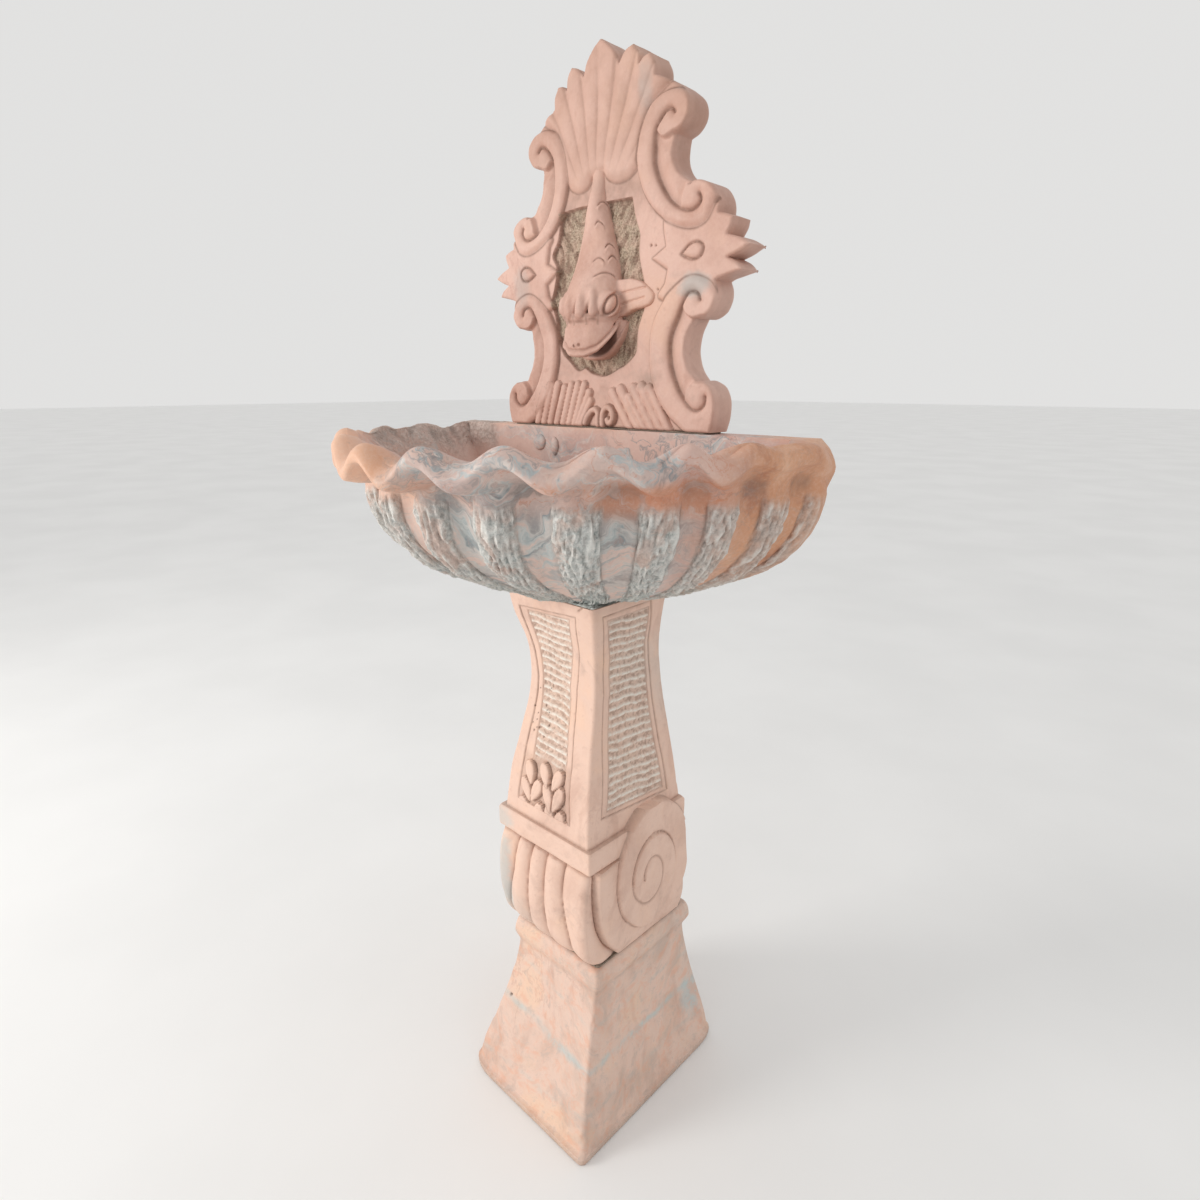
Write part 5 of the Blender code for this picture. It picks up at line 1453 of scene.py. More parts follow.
    # even the points out along the surface
    edges = np.vstack([Q[:, [0, 1]], Q[:, [1, 2]], Q[:, [2, 3]], Q[:, [3, 0]]])
    for factor in (0.55, -0.45, 0.5, -0.4):
        total = np.zeros_like(V)
        count = np.zeros(len(V))
        np.add.at(total, edges[:, 0], V[edges[:, 1]])
        np.add.at(count, edges[:, 0], 1)
        np.add.at(total, edges[:, 1], V[edges[:, 0]])
        np.add.at(count, edges[:, 1], 1)
        V = V + factor * (total / count[:, None] - V)
    x, y, z = V[:, 0], V[:, 1], V[:, 2]
    S = stations(BODY, np.clip(z, BODY[0][0], BODY[-1][0]))
    around = np.degrees(np.arctan2((x - S[:, 2]) / S[:, 0], -(y - S[:, 3]) / S[:, 1]))
    k_here = np.hypot((x - DX) / 0.0470, (y - 0.0097) / 0.0367)
    hang = sstep(0.94, 1.00, k_here) * (y < 0.008)
    # soil and painted shade: a painted shadow under the brow's locks, dark lines along the bill's rim, furrows and lock
    # tips, scale arcs and the eye's grooves
    soil_and_shade = 0.55 * np.exp(-(((z - 1.3085) / 0.0030) ** 2)) * sstep(1.09, 1.02, k_here) * hang
    soil_and_shade = np.maximum(soil_and_shade, 0.42 * np.exp(-(((z - bill_rim(x, y) - 0.0090) / 0.0016) ** 2)) * hang * (z < 1.302))
    for deg in (-64, -36, -7, 21, 44):
        drift = deg + 260 * np.clip(z - 1.306, 0, 1)
        soil_and_shade = np.maximum(soil_and_shade, 0.62 * np.exp(-(((around - drift) / 2.6) ** 2)) * sstep(1.336, 1.314, z) * (z > 1.296))
    for deg, tip in LOCKS:
        soil_and_shade = np.maximum(soil_and_shade, 0.80 * np.exp(-(((around - deg) / 11.0) ** 2)) * np.exp(-(((z - tip - 0.0002) / 0.0024) ** 2)) * (y < 0.008))
    for deg, zc, wide in SCALES:
        q = (around - deg) / wide
        curve = zc + 0.0040 - 0.0062 * np.clip(np.abs(q), 0, 1.2) ** 2
        soil_and_shade = np.maximum(soil_and_shade, 0.75 * np.exp(-(((z - curve) / 0.0012) ** 2)) * sstep(1.05, 0.80, np.abs(q)))
    w = math.radians(65)
    nrm = np.array([math.sin(w) / 0.0475, -math.cos(w) / 0.037])
    nrm /= np.linalg.norm(nrm)
    for side in (1, -1):
        dx, dy, dz = x - DX - side * 0.0475 * math.sin(w), y - 0.0099 + 0.0372 * math.cos(w), z - 1.3231
        p = -side * dx * nrm[1] + dy * nrm[0]
        rr, rad, lid = almond(p - 0.0020, dz)
        ok = (np.abs(dx) < 0.03) & (y < 0.016)
        soil_and_shade = np.maximum(soil_and_shade, 0.90 * np.exp(-((((rr - 1) * 0.0090) / 0.0015) ** 2)) * ok)
        soil_and_shade = np.maximum(soil_and_shade, 0.35 * np.exp(-(((rad - 0.0192) / 0.0024) ** 2)) * ok * lid)
    k2 = np.sqrt(((x - DX) / 0.0400) ** 2 + ((y - 0.0097) / 0.0297) ** 2)
    rim2 = 1.2505 + 0.0400 * np.clip(np.abs(x - DX) / 0.0540, 0, 1.3) ** 3
    # painted shade: the open mouth's hollow and the two holes in the bill are painted dark
    mouth = sstep(1.07, 1.02, k2) * sstep(0.003, 0.009, z - rim2) * sstep(1.302, 1.298, z)
    soil_and_shade = np.maximum(soil_and_shade, 0.95 * mouth)
    soil_and_shade = np.maximum(soil_and_shade, 0.85 * np.exp(-(np.minimum(np.hypot(x + 0.0106, z - 1.2688), np.hypot(x + 0.0016, z - 1.2699)) / 0.0022) ** 2) * (y < -0.020))
    att = {"tool": np.zeros(len(V)), "soil_and_shade": np.clip(soil_and_shade, 0, 1), "shaded_pit": 0.40 * mouth}
    return mesh_object("dolphin_stone", V, [Q], att, 70)


# ---------------------------------------------------------------- materials
class Nodes:
    """Short names for building a material's nodes."""

    def __init__(self, name):
        self.mat = bpy.data.materials.new(name)
        self.mat.use_nodes = True
        self.tree = self.mat.node_tree
        self.tree.nodes.clear()
        self.out = self.tree.nodes.new("ShaderNodeOutputMaterial")
        self.shader = self.tree.nodes.new("ShaderNodeBsdfPrincipled")
        self.tree.links.new(self.shader.outputs[0], self.out.inputs[0])
        self.coord = self.tree.nodes.new("ShaderNodeTexCoord").outputs["Object"]

    def link(self, a, b):
        self.tree.links.new(a, b)

    def put(self, socket, value):
        if isinstance(value, bpy.types.NodeSocket):
            self.link(value, socket)
        elif isinstance(value, (tuple, list)) and len(value) == 3 and socket.type == "RGBA":
            socket.default_value = (*value, 1.0)
        else:
            socket.default_value = value

    def attr(self, name):
        n = self.tree.nodes.new("ShaderNodeAttribute")
        n.attribute_name = name
        return n.outputs["Fac"]

    def math(self, op, a, b=0.0, c=0.0, clamp=False):
        n = self.tree.nodes.new("ShaderNodeMath")
        n.operation, n.use_clamp = op, clamp
        self.put(n.inputs[0], a)
        self.put(n.inputs[1], b)
        self.put(n.inputs[2], c)
        return n.outputs[0]

    def vmath(self, op, a, b=(0, 0, 0)):
        n = self.tree.nodes.new("ShaderNodeVectorMath")
        n.operation = op
        self.put(n.inputs[0], a)
        if op == "SCALE":
            self.put(n.inputs[3], b)
        else:
            self.put(n.inputs[1], b)
        return n.outputs[0]

    def mapping(self, vector, scale=(1, 1, 1), rotation=(0, 0, 0), location=(0, 0, 0)):
        n = self.tree.nodes.new("ShaderNodeMapping")
        self.put(n.inputs["Vector"], vector)
        n.inputs["Scale"].default_value = scale
        n.inputs["Rotation"].default_value = rotation
        n.inputs["Location"].default_value = location
        return n.outputs[0]

    def noise(self, scale, detail=3.0, rough=0.5, vector=None, distortion=0.0, color=False):
        n = self.tree.nodes.new("ShaderNodeTexNoise")
        self.put(n.inputs["Vector"], vector if vector is not None else self.coord)
        n.inputs["Scale"].default_value = scale
        n.inputs["Detail"].default_value = detail
        n.inputs["Roughness"].default_value = rough
        n.inputs["Distortion"].default_value = distortion
        return n.outputs["Color" if color else "Fac"]

    def voronoi(self, scale, vector=None, feature="F1", out="Distance", rand=1.0):
        n = self.tree.nodes.new("ShaderNodeTexVoronoi")
        n.feature = feature
        self.put(n.inputs["Vector"], vector if vector is not None else self.coord)
        n.inputs["Scale"].default_value = scale
        n.inputs["Randomness"].default_value = rand
        return n.outputs[out]

    def ramp(self, fac, stops, smooth=True):
        n = self.tree.nodes.new("ShaderNodeValToRGB")
        n.color_ramp.interpolation = "EASE" if smooth else "LINEAR"
        el = n.color_ramp.elements
        while len(el) < len(stops):
            el.new(0.5)
        for e, (pos, col) in zip(el, stops):
            e.position = pos
            e.color = (*col, 1.0) if isinstance(col, (tuple, list)) else (col, col, col, 1.0)
        self.put(n.inputs[0], fac)
        return n.outputs[0]

    def mix(self, fac, a, b, blend="MIX"):
        n = self.tree.nodes.new("ShaderNodeMix")
        n.data_type, n.blend_type = "RGBA", blend
        n.clamp_factor = True
        self.put(n.inputs["Factor"], fac)
        self.put(n.inputs[6], a)
        self.put(n.inputs[7], b)
        return n.outputs[2]

    def range(self, v, a, b, c=0.0, d=1.0):
        n = self.tree.nodes.new("ShaderNodeMapRange")
        n.interpolation_type = "SMOOTHSTEP"
        self.put(n.inputs[0], v)
        for i, k in enumerate((a, b, c, d)):
            n.inputs[1 + i].default_value = k
        return n.outputs[0]

    def bump(self, height, strength, distance, normal=None):
        n = self.tree.nodes.new("ShaderNodeBump")
        n.inputs["Strength"].default_value = strength
        n.inputs["Distance"].default_value = distance
        self.put(n.inputs["Height"], height)
        if normal is not None:
            self.link(normal, n.inputs["Normal"])
        return n.outputs[0]


def srgb(r, g, b):
    return tuple(((c / 255 + 0.055) / 1.055) ** 2.4 if c / 255 > 0.04045 else c / 255 / 12.92 for c in (r, g, b))


def pink_marble(name, light, deep, warm, cool, cool_amount=0.15, tool_colour=None, ridge_highlights=False, vein=False, seed=0.0, blue_spots=()):
    """Warm pink marble: clouds of two pinks, fine darker veins, a few cool patches, pale bruised tooling, soil with
    painted shade in the carving and its holes, painted shade on the crown, and a painted highlight on chisel ridges.
    """
    m = Nodes(name)
    at = m.mapping(m.coord, location=(seed, seed * 0.7, seed * 1.3))
    warp = m.noise(3.2, 4.0, 0.55, at, color=True)
    moved = m.vmath("ADD", at, m.vmath("SCALE", m.vmath("SUBTRACT", warp, (0.5, 0.5, 0.5)), 0.22))
    cloud = m.noise(5.5, 5.0, 0.6, moved)
    col = m.ramp(cloud, [(0.34, deep), (0.52, light), (0.68, warm)])
    drift = m.noise(2.1, 3.0, 0.5, m.mapping(moved, location=(3.1, 1.7, 0.4)))
    col = m.mix(m.range(drift, 0.56, 0.70, 0.0, cool_amount), col, cool)
    # fine dark veins along wandering sheets
    sheet = m.noise(7.0, 6.0, 0.62, m.mapping(moved, scale=(1.0, 1.0, 0.55), rotation=(0.4, 0.9, 0.3)))
    thin = m.range(m.math("ABSOLUTE", m.math("SUBTRACT", sheet, 0.5)), 0.0, 0.013, 1.0, 0.0)
    veins = m.math("MULTIPLY", thin, m.range(m.noise(3.0, 2.0, 0.5, m.mapping(at, location=(7, 2, 5))), 0.50, 0.64))
    col = m.mix(m.math("MULTIPLY", veins, 0.22), col, srgb(158, 98, 84))
    # crystals and grain
    grain = m.noise(260.0, 3.0, 0.7, m.coord)
    col = m.mix(m.range(grain, 0.35, 0.75, 0.0, 0.14), col, srgb(240, 218, 204))
    fleck = m.noise(95.0, 2.0, 0.6, m.coord)
    col = m.mix(m.range(fleck, 0.60, 0.74, 0.0, 0.13), col, srgb(158, 112, 96))
    # mottling the size of a fingertip, warmer and greyer by turns
    mottle = m.noise(21.0, 5.0, 0.66, m.mapping(moved, location=(2.0, 9.0, 4.0)))
    col = m.mix(m.range(mottle, 0.52, 0.70, 0.0, 0.32), col, warm)
    col = m.mix(m.range(mottle, 0.47, 0.32, 0.0, 0.26), col, srgb(178, 150, 136))
    smear = m.noise(30.0, 4.0, 0.62, m.mapping(moved, scale=(1.0, 1.0, 0.16), location=(1.0, 6.0, 2.0)))
    col = m.mix(m.range(smear, 0.52, 0.68, 0.0, 0.20), col, srgb(184, 140, 122))
    sep = m.tree.nodes.new("ShaderNodeSeparateXYZ")
    m.link(m.coord, sep.inputs[0])
    for (cx, cy, cz), (rx, ry, rz), colour, power in blue_spots:
        # cool patches where the block's veining comes to the surface
        total = None
        for socket, c, r in zip(sep.outputs, (cx, cy, cz), (rx, ry, rz)):
            q = m.math("DIVIDE", m.math("SUBTRACT", socket, c), r)
            q = m.math("MULTIPLY", q, q)
            total = q if total is None else m.math("ADD", total, q)
        ragged = m.math("ADD", total, m.math("MULTIPLY", m.math("SUBTRACT", m.noise(34.0, 5.0, 0.70), 0.5), 3.0))
        col = m.mix(m.range(ragged, 0.0, 1.6, power, 0.0), col, colour)
    if vein:
        # a pale blue-grey vein runs nearly level round the plinth, with a fainter one above it
        wob = m.math("MULTIPLY", m.math("SUBTRACT", m.noise(16.0, 4.0, 0.62), 0.5), 0.022)
        slow = m.math("MULTIPLY", m.math("SUBTRACT", m.noise(5.0, 2.0, 0.5), 0.5), 0.018)
        for slope_x, height, wide, power in ((0.075, 0.1365, 0.0100, 0.72), (0.16, 0.2080, 0.0060, 0.22), (-0.10, 0.0520, 0.0070, 0.20)):
            plane = m.math("ADD", m.math("MULTIPLY", sep.outputs[0], slope_x), sep.outputs[2])
            plane = m.math("ADD", m.math("ADD", m.math("SUBTRACT", plane, height), wob), slow)
            band = m.range(m.math("ABSOLUTE", plane), 0.0, wide, power, 0.0)
            band = m.math("MULTIPLY", band, m.range(m.noise(18.0, 4.0, 0.65), 0.36, 0.58, 0.25, 1.0))
            col = m.mix(band, col, srgb(184, 200, 200))
        # weathered, browner patches
        stain = m.range(m.noise(8.0, 5.0, 0.62, m.mapping(moved, location=(5.0, 3.0, 1.0))), 0.52, 0.68, 0.0, 0.30)
        col = m.mix(stain, col, srgb(168, 148, 134))
        blush = m.noise(40.0, 5.0, 0.7, m.mapping(moved, scale=(1.0, 1.0, 1.6), location=(8.0, 1.0, 3.0)))
        col = m.mix(m.range(blush, 0.50, 0.64, 0.0, 0.42), col, srgb(226, 168, 138))
        col = m.mix(m.range(blush, 0.46, 0.34, 0.0, 0.38), col, srgb(184, 172, 164))
    # painted shade: the crown is painted darker and browner, holding down the light that falls strongest on the top
    high = m.math("MULTIPLY", m.range(sep.outputs[2], 1.40, 1.56), m.range(m.noise(12.0, 5.0, 0.65), 0.34, 0.62, 0.34, 0.66))
    col = m.mix(high, col, srgb(184, 144, 126))
    tool, soil_and_shade, shaded_pit = m.attr("tool"), m.attr("soil_and_shade"), m.attr("shaded_pit")
    # bruised stone where the tools bit
    chips = m.noise(420.0, 3.0, 0.75, m.coord)
    tc = tool_colour or (srgb(214, 190, 174), srgb(168, 150, 134))
    bruised = m.ramp(chips, [(0.36, tc[1]), (0.60, tc[0])])
    blotch = m.range(m.noise(38.0, 3.0, 0.6), 0.35, 0.65, 0.62, 1.0)
    col = m.mix(m.math("MULTIPLY", tool, m.math("MULTIPLY", blotch, 0.90)), col, bruised)
    if ridge_highlights:
        # painted highlight: the chisel ridges' tops are painted near-white
        ridge_highlight = m.attr("ridge_highlight")
        broken = m.range(m.noise(130.0, 3.0, 0.7, m.mapping(m.coord, scale=(0.5, 0.5, 1.0))), 0.26, 0.48)
        col = m.mix(m.math("MULTIPLY", m.math("MULTIPLY", ridge_highlight, broken), 0.92), col, srgb(240, 236, 226))
    # soil and painted shade: creases, cuts, hollows and joins are darkened towards dark brown
    patchy = m.range(m.noise(60.0, 4.0, 0.65), 0.25, 0.70, 0.60, 1.0)
    col = m.mix(m.math("MULTIPLY", m.math("MULTIPLY", soil_and_shade, patchy), 0.76), col, srgb(104, 74, 60))
    # painted shade: drilled holes and the dolphin's open mouth are painted near-black brown
    col = m.mix(shaded_pit, col, srgb(70, 38, 28))
    m.put(m.shader.inputs["Base Color"], col)
    rough = m.math("ADD", m.math("MULTIPLY", m.noise(30.0, 4.0, 0.6), 0.22), 0.44)
    rough = m.math("ADD", rough, m.math("MULTIPLY", tool, 0.30), clamp=True)
    m.put(m.shader.inputs["Roughness"], rough)
    m.shader.inputs["IOR"].default_value = 1.50
    m.shader.inputs["Specular IOR Level"].default_value = 0.30
    fine = m.bump(m.noise(340.0, 4.0, 0.7), 0.24, 0.0006)
    soft = m.bump(m.noise(48.0, 4.0, 0.6), 0.30, 0.0018, fine)
    pocks = m.math("MULTIPLY", tool, m.math("ADD", m.noise(330.0, 3.0, 0.7), m.math("MULTIPLY", m.voronoi(190.0), 0.9)))
    m.put(m.shader.inputs["Normal"], m.bump(pocks, 0.75, 0.0016, soft))
    return m.mat


def basin_marble(name):
    """Strongly veined marble: orange-brown at its ends, drawn grey-green and blue bands between, pink to the right of
    the middle, pale where it is tooled, with soil and painted shade in its hollows and a painted highlight on the
    tooling's ridge tops.
    """
    m = Nodes(name)
    warp = m.noise(2.6, 5.0, 0.6, color=True)
    moved = m.vmath("ADD", m.coord, m.vmath("SCALE", m.vmath("SUBTRACT", warp, (0.5, 0.5, 0.5)), 0.30))
    warp2 = m.noise(12.0, 4.0, 0.6, moved, color=True)
    moved2 = m.vmath("ADD", moved, m.vmath("SCALE", m.vmath("SUBTRACT", warp2, (0.5, 0.5, 0.5)), 0.045))
    sep = m.tree.nodes.new("ShaderNodeSeparateXYZ")
    m.link(m.coord, sep.inputs[0])
    lip, inner, ribs = m.attr("lip"), m.attr("inner"), m.attr("ribs")
    tool, soil_and_shade = m.attr("tool"), m.attr("soil_and_shade")
    shift = m.math("MULTIPLY", m.math("SUBTRACT", m.noise(7.0, 3.0, 0.6), 0.5), 0.10)
    turn = m.math("ADD", m.attr("turn"), shift)
    base = m.noise(5.2, 4.0, 0.55, m.mapping(moved, scale=(1.0, 1.0, 1.6)))
    pink = m.ramp(base, [(0.34, srgb(196, 160, 150)), (0.52, srgb(214, 182, 170)), (0.66, srgb(214, 168, 148))])
    # orange-brown towards both ends of the bowl
    warm = m.ramp(m.noise(10.0, 5.0, 0.62, moved2), [(0.34, srgb(178, 118, 84)), (0.50, srgb(208, 150, 112)), (0.66, srgb(222, 172, 138))])
    right_end = m.range(turn, 0.19, 0.09, 0.0, 0.88)
    left_end = m.math("MULTIPLY", m.range(turn, 0.40, 0.48, 0.0, 0.92), m.range(sep.outputs[2], 1.060, 1.110, 0.35, 1.0))
    outward = m.math("SUBTRACT", 1.0, inner)
    warm = m.mix(m.range(turn, 0.42, 0.54, 0.0, 0.72), warm, srgb(242, 200, 174))
    pink = m.mix(m.math("MULTIPLY", m.math("MAXIMUM", right_end, left_end), outward), pink, warm)
    # broad grey-green bands, flowing about level, strongest left of the middle
    bands = m.noise(6.0, 6.0, 0.60, m.mapping(moved2, scale=(0.70, 0.70, 4.6), rotation=(0.20, 0.26, 0.0)))
    where = m.math("MULTIPLY", m.range(turn, 0.17, 0.25), m.range(turn, 0.50, 0.43))
    where = m.math("MAXIMUM", where, m.math("MULTIPLY", inner, 0.62))
    edge = m.math("ADD", bands, m.math("MULTIPLY", where, 0.115))
    grey = m.range(edge, 0.540, 0.62, 0.0, 1.0)
    ends = m.math("SUBTRACT", 1.0, m.math("MULTIPLY", m.math("MAXIMUM", right_end, left_end), 0.90))
    grey = m.math("MULTIPLY", grey, m.math("MAXIMUM", ends, m.math("MULTIPLY", inner, 0.8)))
    tone = m.noise(17.0, 5.0, 0.65, m.mapping(moved2, scale=(1, 1, 2.8)))
    grey_col = m.ramp(tone, [(0.38, srgb(128, 144, 150)), (0.48, srgb(176, 188, 190)), (0.56, srgb(216, 208, 202)), (0.64, srgb(160, 174, 178))])
    # finer streams of blue-grey and pale pink within the broad ones
    stream = m.noise(15.0, 6.0, 0.62, m.mapping(moved2, scale=(0.55, 0.55, 3.4), rotation=(0.16, 0.30, 0.0), location=(4.0, 7.0, 2.0)))
    fine = m.range(m.math("ABSOLUTE", m.math("SUBTRACT", stream, 0.5)), 0.005, 0.050, 1.0, 0.30)
    col = m.mix(m.math("MULTIPLY", grey, m.math("MULTIPLY", fine, 0.84)), pink, grey_col)
    # thin drawn veins of dark green-grey, of blue-grey and of orange
    for scale, stretch, rot, wide, colour, power, loc in (
        (6.0, (0.7, 0.7, 3.0), (0.3, 0.2, 0.5), 0.016, srgb(92, 106, 112), 0.42, (1, 2, 3)),
        (9.0, (0.6, 0.6, 2.4), (-0.3, 0.4, 0.1), 0.015, srgb(104, 120, 128), 0.55, (5, 1, 2)),
        (7.0, (0.8, 0.8, 2.6), (0.1, -0.5, 0.2), 0.013, srgb(222, 206, 194), 0.34, (9, 4, 1)),
        (12.0, (0.8, 0.8, 2.0), (0.5, 0.1, 0.2), 0.013, srgb(198, 122, 88), 0.50, (2, 8, 6)),
    ):
        sheet = m.noise(scale, 6.0, 0.6, m.mapping(moved2, scale=stretch, rotation=rot, location=loc))
        line = m.range(m.math("ABSOLUTE", m.math("SUBTRACT", sheet, 0.5)), 0.0, wide, power, 0.0)
        patch = m.range(m.noise(3.6, 3.0, 0.5, m.mapping(m.coord, location=loc)), 0.40, 0.56)
        col = m.mix(m.math("MULTIPLY", m.math("MULTIPLY", line, patch), ends), col, colour)
    # dark veins drawn out under the lip left of the middle, and orange along its lower edge right of it
    low_lip = m.math("MULTIPLY", m.range(sep.outputs[2], 1.060, 1.085), m.range(sep.outputs[2], 1.126, 1.108))
    low_lip = m.math("MULTIPLY", low_lip, outward)
    streak = m.range(m.noise(9.0, 5.0, 0.65, m.mapping(moved2, scale=(0.7, 0.7, 5.0))), 0.46, 0.56)
    span = m.math("MULTIPLY", m.range(turn, 0.27, 0.33), m.range(turn, 0.56, 0.48))
    col = m.mix(m.math("MULTIPLY", m.math("MULTIPLY", low_lip, span), m.math("MULTIPLY", streak, 0.48)), col, srgb(96, 106, 112))
    span = m.math("MULTIPLY", m.range(turn, 0.11, 0.16), m.range(turn, 0.33, 0.27))
    col = m.mix(m.math("MULTIPLY", m.math("MULTIPLY", low_lip, span), m.range(streak, 0.2, 0.8, 0.25, 0.75)), col, srgb(206, 136, 98))
    # the sunken flutes: level wavy bands of pale and dark grey in the middle, brownish to the right
    level = m.noise(13.0, 5.0, 0.62, m.mapping(moved2, scale=(0.45, 0.45, 4.2)))
    bars = m.ramp(level, [(0.38, srgb(122, 136, 140)), (0.46, srgb(184, 190, 188)), (0.54, srgb(214, 188, 176)), (0.64, srgb(150, 162, 164))])
    below = m.math("MULTIPLY", m.range(sep.outputs[2], 1.10, 1.06), outward)
    mid = m.math("MULTIPLY", m.range(turn, 0.13, 0.21), m.range(turn, 0.74, 0.60))
    col = m.mix(m.math("MULTIPLY", m.math("MULTIPLY", below, mid), 0.66), col, bars)
    grain = m.noise(240.0, 3.0, 0.7)
    col = m.mix(m.range(grain, 0.40, 0.75, 0.0, 0.14), col, srgb(236, 226, 216))
    fleck = m.noise(90.0, 3.0, 0.65)
    col = m.mix(m.range(fleck, 0.60, 0.74, 0.0, 0.22), col, srgb(122, 112, 104))
    # bruised, grey-white tooling, greener underneath
    chips = m.noise(150.0, 5.0, 0.75)
    low = m.range(sep.outputs[2], 0.99, 0.93, 0.0, 1.0)
    pale = m.ramp(chips, [(0.36, srgb(160, 168, 166)), (0.50, srgb(208, 210, 206)), (0.64, srgb(236, 236, 232))])
    rosy = m.math("MAXIMUM", m.range(m.noise(20.0, 4.0, 0.6, moved2), 0.48, 0.62, 0.0, 0.60), m.range(turn, 0.58, 0.70, 0.0, 0.45))
    rosy = m.math("MAXIMUM", rosy, m.range(turn, 0.20, 0.10, 0.0, 0.40))
    pinkish = m.mix(rosy, pale, srgb(204, 164, 146))
    greenish = m.mix(m.math("MULTIPLY", low, 0.70), pinkish, m.ramp(m.noise(34.0, 4.0, 0.6), [(0.38, srgb(136, 150, 148)), (0.62, srgb(190, 202, 198))]))
    col = m.mix(m.math("MULTIPLY", tool, m.range(m.noise(44.0, 4.0, 0.65), 0.28, 0.60, 0.40, 0.90)), col, greenish)
    # painted highlight: the ridge tops of the tooling are painted paler and whiter
    col = m.mix(m.math("MULTIPLY", m.attr("ridge_highlight"), 0.70), col, srgb(240, 238, 232))
    # soil and painted shade: tooling hollows, rib furrows and the coves under the lip are darkened towards grey-brown
    patchy = m.range(m.noise(70.0, 4.0, 0.65), 0.25, 0.70, 0.55, 1.0)
    col = m.mix(m.math("MULTIPLY", m.math("MULTIPLY", soil_and_shade, patchy), 0.74), col, srgb(98, 90, 84))
    m.put(m.shader.inputs["Base Color"], col)
    rough = m.math("ADD", m.math("MULTIPLY", m.noise(34.0, 4.0, 0.6), 0.22), 0.38)
    rough = m.math("ADD", rough, m.math("MULTIPLY", tool, 0.38), clamp=True)
    m.put(m.shader.inputs["Roughness"], rough)
    m.shader.inputs["Specular IOR Level"].default_value = 0.32
    fine = m.bump(m.noise(320.0, 4.0, 0.7), 0.22, 0.0006)
    soft = m.bump(m.noise(42.0, 4.0, 0.6), 0.32, 0.0020, fine)
    strokes = m.noise(150.0, 5.0, 0.75, m.mapping(m.coord, scale=(1.0, 1.0, 0.35)))
    pocks = m.math("MULTIPLY", tool, m.math("ADD", strokes, m.math("MULTIPLY", m.voronoi(150.0), 0.7)))
    m.put(m.shader.inputs["Normal"], m.bump(pocks, 1.0, 0.0036, soft))
    return m.mat


def metal(name, bright, dull, roughness, stain=None, brushed=(1, 1, 1)):
    """Handled metal: brighter where rubbed, duller in patches, with fine machining lines."""
    m = Nodes(name)
    patch = m.noise(70.0, 5.0, 0.65)
    col = m.ramp(patch, [(0.36, dull), (0.60, bright)])
    if stain:
        spots = m.range(m.noise(150.0, 4.0, 0.7), 0.60, 0.72, 0.0, 0.55)
        col = m.mix(spots, col, stain)
    m.put(m.shader.inputs["Base Color"], col)
    m.shader.inputs["Metallic"].default_value = 1.0
    lines = m.noise(520.0, 3.0, 0.6, m.mapping(m.coord, scale=brushed))
    rough = m.math("ADD", m.math("MULTIPLY", patch, 0.22), roughness)
    m.put(m.shader.inputs["Roughness"], m.math("ADD", rough, m.math("MULTIPLY", lines, 0.10), clamp=True))
    m.put(m.shader.inputs["Normal"], m.bump(lines, 0.16, 0.0003, m.bump(patch, 0.12, 0.0008)))
    return m.mat


def mortar(name):
    m = Nodes(name)
    sand = m.noise(520.0, 4.0, 0.8)
    col = m.ramp(sand, [(0.34, srgb(92, 80, 70)), (0.52, srgb(140, 126, 112)), (0.68, srgb(178, 164, 148))])
    col = m.mix(m.range(m.noise(40.0, 4.0, 0.6), 0.45, 0.62, 0.0, 0.5), col, srgb(96, 82, 72))
    m.put(m.shader.inputs["Base Color"], col)
    m.put(m.shader.inputs["Roughness"], m.math("ADD", m.math("MULTIPLY", sand, 0.15), 0.80))
    m.put(m.shader.inputs["Normal"], m.bump(sand, 0.6, 0.0008))
    return m.mat


def rubber(name):
    m = Nodes(name)
    fine = m.noise(420.0, 4.0, 0.7)
    m.put(m.shader.inputs["Base Color"], m.ramp(fine, [(0.35, srgb(22, 22, 23)), (0.65, srgb(44, 43, 42))]))
    m.put(m.shader.inputs["Roughness"], m.math("ADD", m.math("MULTIPLY", fine, 0.2), 0.62))
    m.put(m.shader.inputs["Normal"], m.bump(fine, 0.3, 0.0004))
    return m.mat


def dipped(name):
    """The lever's dipped coating: soft sheen, with darker rubbed patches."""
    m = Nodes(name)
    wear = m.range(m.noise(160.0, 4.0, 0.7), 0.60, 0.74, 0.0, 0.5)
    col = m.ramp(m.noise(60.0, 3.0, 0.6), [(0.35, srgb(128, 26, 22)), (0.65, srgb(160, 38, 30))])
    m.put(m.shader.inputs["Base Color"], m.mix(wear, col, srgb(96, 30, 28)))
    m.put(m.shader.inputs["Roughness"], m.math("ADD", m.math("MULTIPLY", m.noise(90.0, 3.0, 0.6), 0.2), 0.34))
    m.put(m.shader.inputs["Normal"], m.bump(m.noise(240.0, 4.0, 0.6), 0.15, 0.0005))
    return m.mat


def floor_paint(name):
    m = Nodes(name)
    cloud = m.noise(1.4, 4.0, 0.5)
    m.put(m.shader.inputs["Base Color"], m.ramp(cloud, [(0.3, (0.86, 0.86, 0.855)), (0.7, (0.90, 0.90, 0.895))]))
    m.put(m.shader.inputs["Roughness"], m.math("ADD", m.math("MULTIPLY", m.noise(60.0, 3.0, 0.5), 0.1), 0.75))
    return m.mat


# ---------------------------------------------------------------- camera first, then the pieces
cam_data = bpy.data.cameras.new("camera")
cam = bpy.data.objects.new("camera", cam_data)
scene.collection.objects.link(cam)
cam.location = (0.781, -0.8095, 1.219)
cam.rotation_euler = (math.radians(90 - 16.35), 0.0, math.radians(43.5))
cam_data.sensor_width = 36.0
cam_data.lens = 22.236
cam_data.clip_start, cam_data.clip_end = 0.02, 150.0
scene.camera = cam

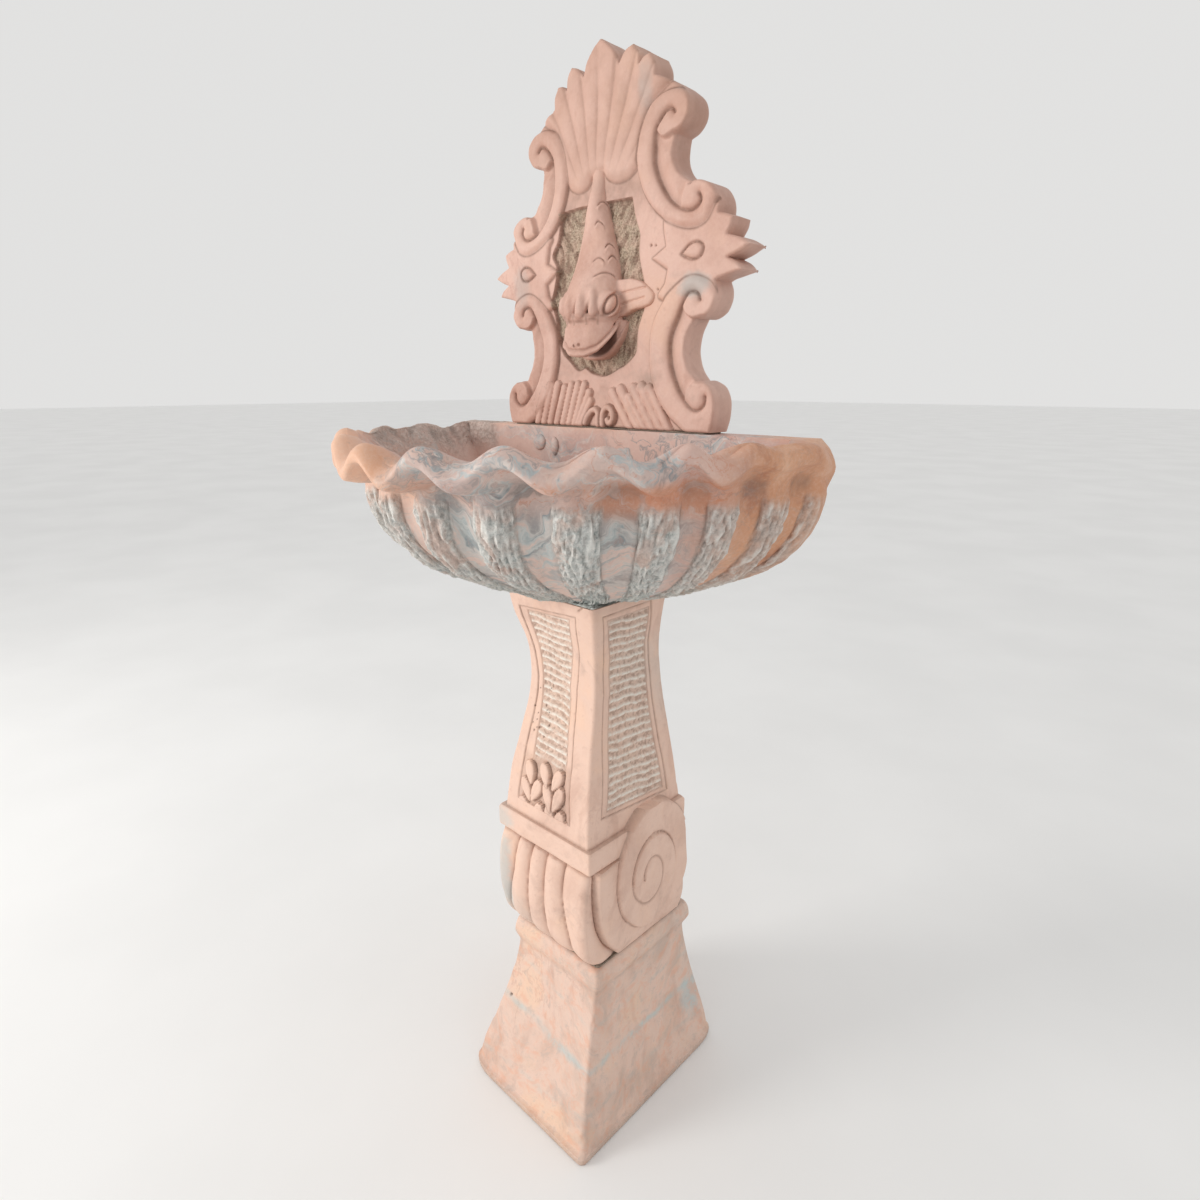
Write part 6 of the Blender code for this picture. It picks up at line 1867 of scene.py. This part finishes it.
BLUE = srgb(180, 198, 200)
GREYISH = srgb(172, 180, 178)
panel_pink = pink_marble(
    "panel_marble", srgb(218, 180, 165), srgb(200, 158, 142), srgb(222, 182, 162), srgb(192, 176, 164), 0.35, (srgb(192, 176, 154), srgb(122, 108, 92)), seed=1.3,
    blue_spots=(
        ((0.080, 0.010, 1.575), (0.012, 0.05, 0.032), GREYISH, 0.45),
        ((0.168, 0.010, 1.338), (0.024, 0.05, 0.016), GREYISH, 0.60),
        ((-0.165, 0.010, 1.360), (0.020, 0.05, 0.030), GREYISH, 0.35),
        ((0.090, 0.010, 1.222), (0.020, 0.05, 0.012), srgb(160, 138, 124), 0.45),
        # a darker, browner band across the shell's foot and the frame under it: painted shade
        ((0.012, 0.010, 1.480), (0.050, 0.05, 0.012), srgb(190, 160, 146), 0.40),
    ),
)
lower_pink = pink_marble(
    "pedestal_marble", srgb(230, 196, 178), srgb(216, 180, 162), srgb(236, 198, 174), srgb(198, 194, 186), 0.40, (srgb(218, 192, 176), srgb(182, 160, 146)), ridge_highlights=True, seed=4.1,
    blue_spots=(((-0.092, -0.128, 0.405), (0.020, 0.05, 0.085), BLUE, 0.55), ((-0.098, -0.124, 0.515), (0.030, 0.05, 0.020), BLUE, 0.45)),
)
plinth_pink = pink_marble(
    "plinth_marble", srgb(224, 194, 178), srgb(208, 174, 156), srgb(230, 196, 172), srgb(194, 190, 182), 0.45, (srgb(208, 190, 176), srgb(164, 146, 132)), vein=True, seed=6.7,
    blue_spots=(((0.128, 0.135, 0.110), (0.026, 0.026, 0.045), BLUE, 0.70),),
)
veined = basin_marble("basin_marble")

plinth = make_plinth()
scroll = make_scroll()
shaft = make_shaft()
basin = make_basin()
panel = make_panel()
dolphin = make_dolphin()

for ob, mat, slot in (
    (plinth, plinth_pink, "pink_marble"),
    (scroll, lower_pink, "pink_marble"),
    (shaft, lower_pink, "pink_marble"),
    (basin, veined, "veined_marble"),
    (panel, panel_pink, "pink_marble"),
    (dolphin, panel_pink, "pink_marble"),
):
    ob.data.materials.append(mat)
    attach(ob, "fountain")
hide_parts("plinth")
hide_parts("column")
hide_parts("column")
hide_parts("basin")
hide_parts("back_panel")
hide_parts("back_panel")

brass = metal("satin_brass", srgb(214, 176, 104), srgb(150, 116, 62), 0.22, srgb(92, 84, 56))
copper = metal("drawn_copper", srgb(214, 134, 98), srgb(140, 82, 60), 0.20, srgb(84, 110, 92), (1, 1, 0.1))
steel = metal("turned_steel", srgb(196, 197, 198), srgb(132, 133, 136), 0.24, srgb(110, 96, 84))
bed, gasket, dip = mortar("lime_mortar"), rubber("gasket_rubber"), dipped("lever_coating")
FINISH = {
    "mortar": bed,
    "dowel_steel": steel,
    "brass": brass,
    "copper": copper,
    "rubber": gasket,
    "lever_paint": dip,
    "pink_marble": lower_pink,
    "veined_marble": veined,
}
slots = {s["node"]: s["material_slot"] for s in frame["record"]["subparts"]}
for name, ob in NODES.items():
    mat = FINISH[slots[name]]
    if ob.data.materials:
        for i in range(len(ob.data.materials)):
            ob.data.materials[i] = mat
    else:
        ob.data.materials.append(mat)

# ---------------------------------------------------------------- floor and light
floor_mesh = bpy.data.meshes.new("floor")
floor_mesh.from_pydata([(-45, -45, -0.0004), (45, -45, -0.0004), (45, 45, -0.0004), (-45, 45, -0.0004)], [], [(0, 1, 2, 3)])
floor = bpy.data.objects.new("floor", floor_mesh)
scene.collection.objects.link(floor)
floor_mesh.materials.append(floor_paint("floor_paint"))

world = bpy.data.worlds.new("studio")
scene.world = world
world.use_nodes = True
world.node_tree.nodes["Background"].inputs[0].default_value = (1.0, 0.995, 0.985, 1.0)
world.node_tree.nodes["Background"].inputs[1].default_value = 0.76


def area_light(name, at, aim, size, power, colour):
    data = bpy.data.lights.new(name, "AREA")
    data.shape, data.size, data.size_y = "RECTANGLE", size[0], size[1]
    data.energy, data.color = power, colour
    ob = bpy.data.objects.new(name, data)
    ob.location = at
    ob.rotation_euler = (Vector(aim) - Vector(at)).to_track_quat("-Z", "Y").to_euler()
    scene.collection.objects.link(ob)


area_light("key", (-2.3, -3.5, 1.7), (0, 0, 0.8), (1.5, 1.5), 90, (1.0, 0.975, 0.94))
area_light("fill", (2.8, -1.2, 1.4), (0, 0, 0.8), (1.6, 1.6), 1, (0.96, 0.98, 1.0))

scene.view_settings.view_transform = "Standard"
scene.view_settings.look = "None"

print("triangles", {o.name: sum(len(p.vertices) - 2 for p in o.data.polygons) for o in (plinth, scroll, shaft, basin, panel, dolphin)})
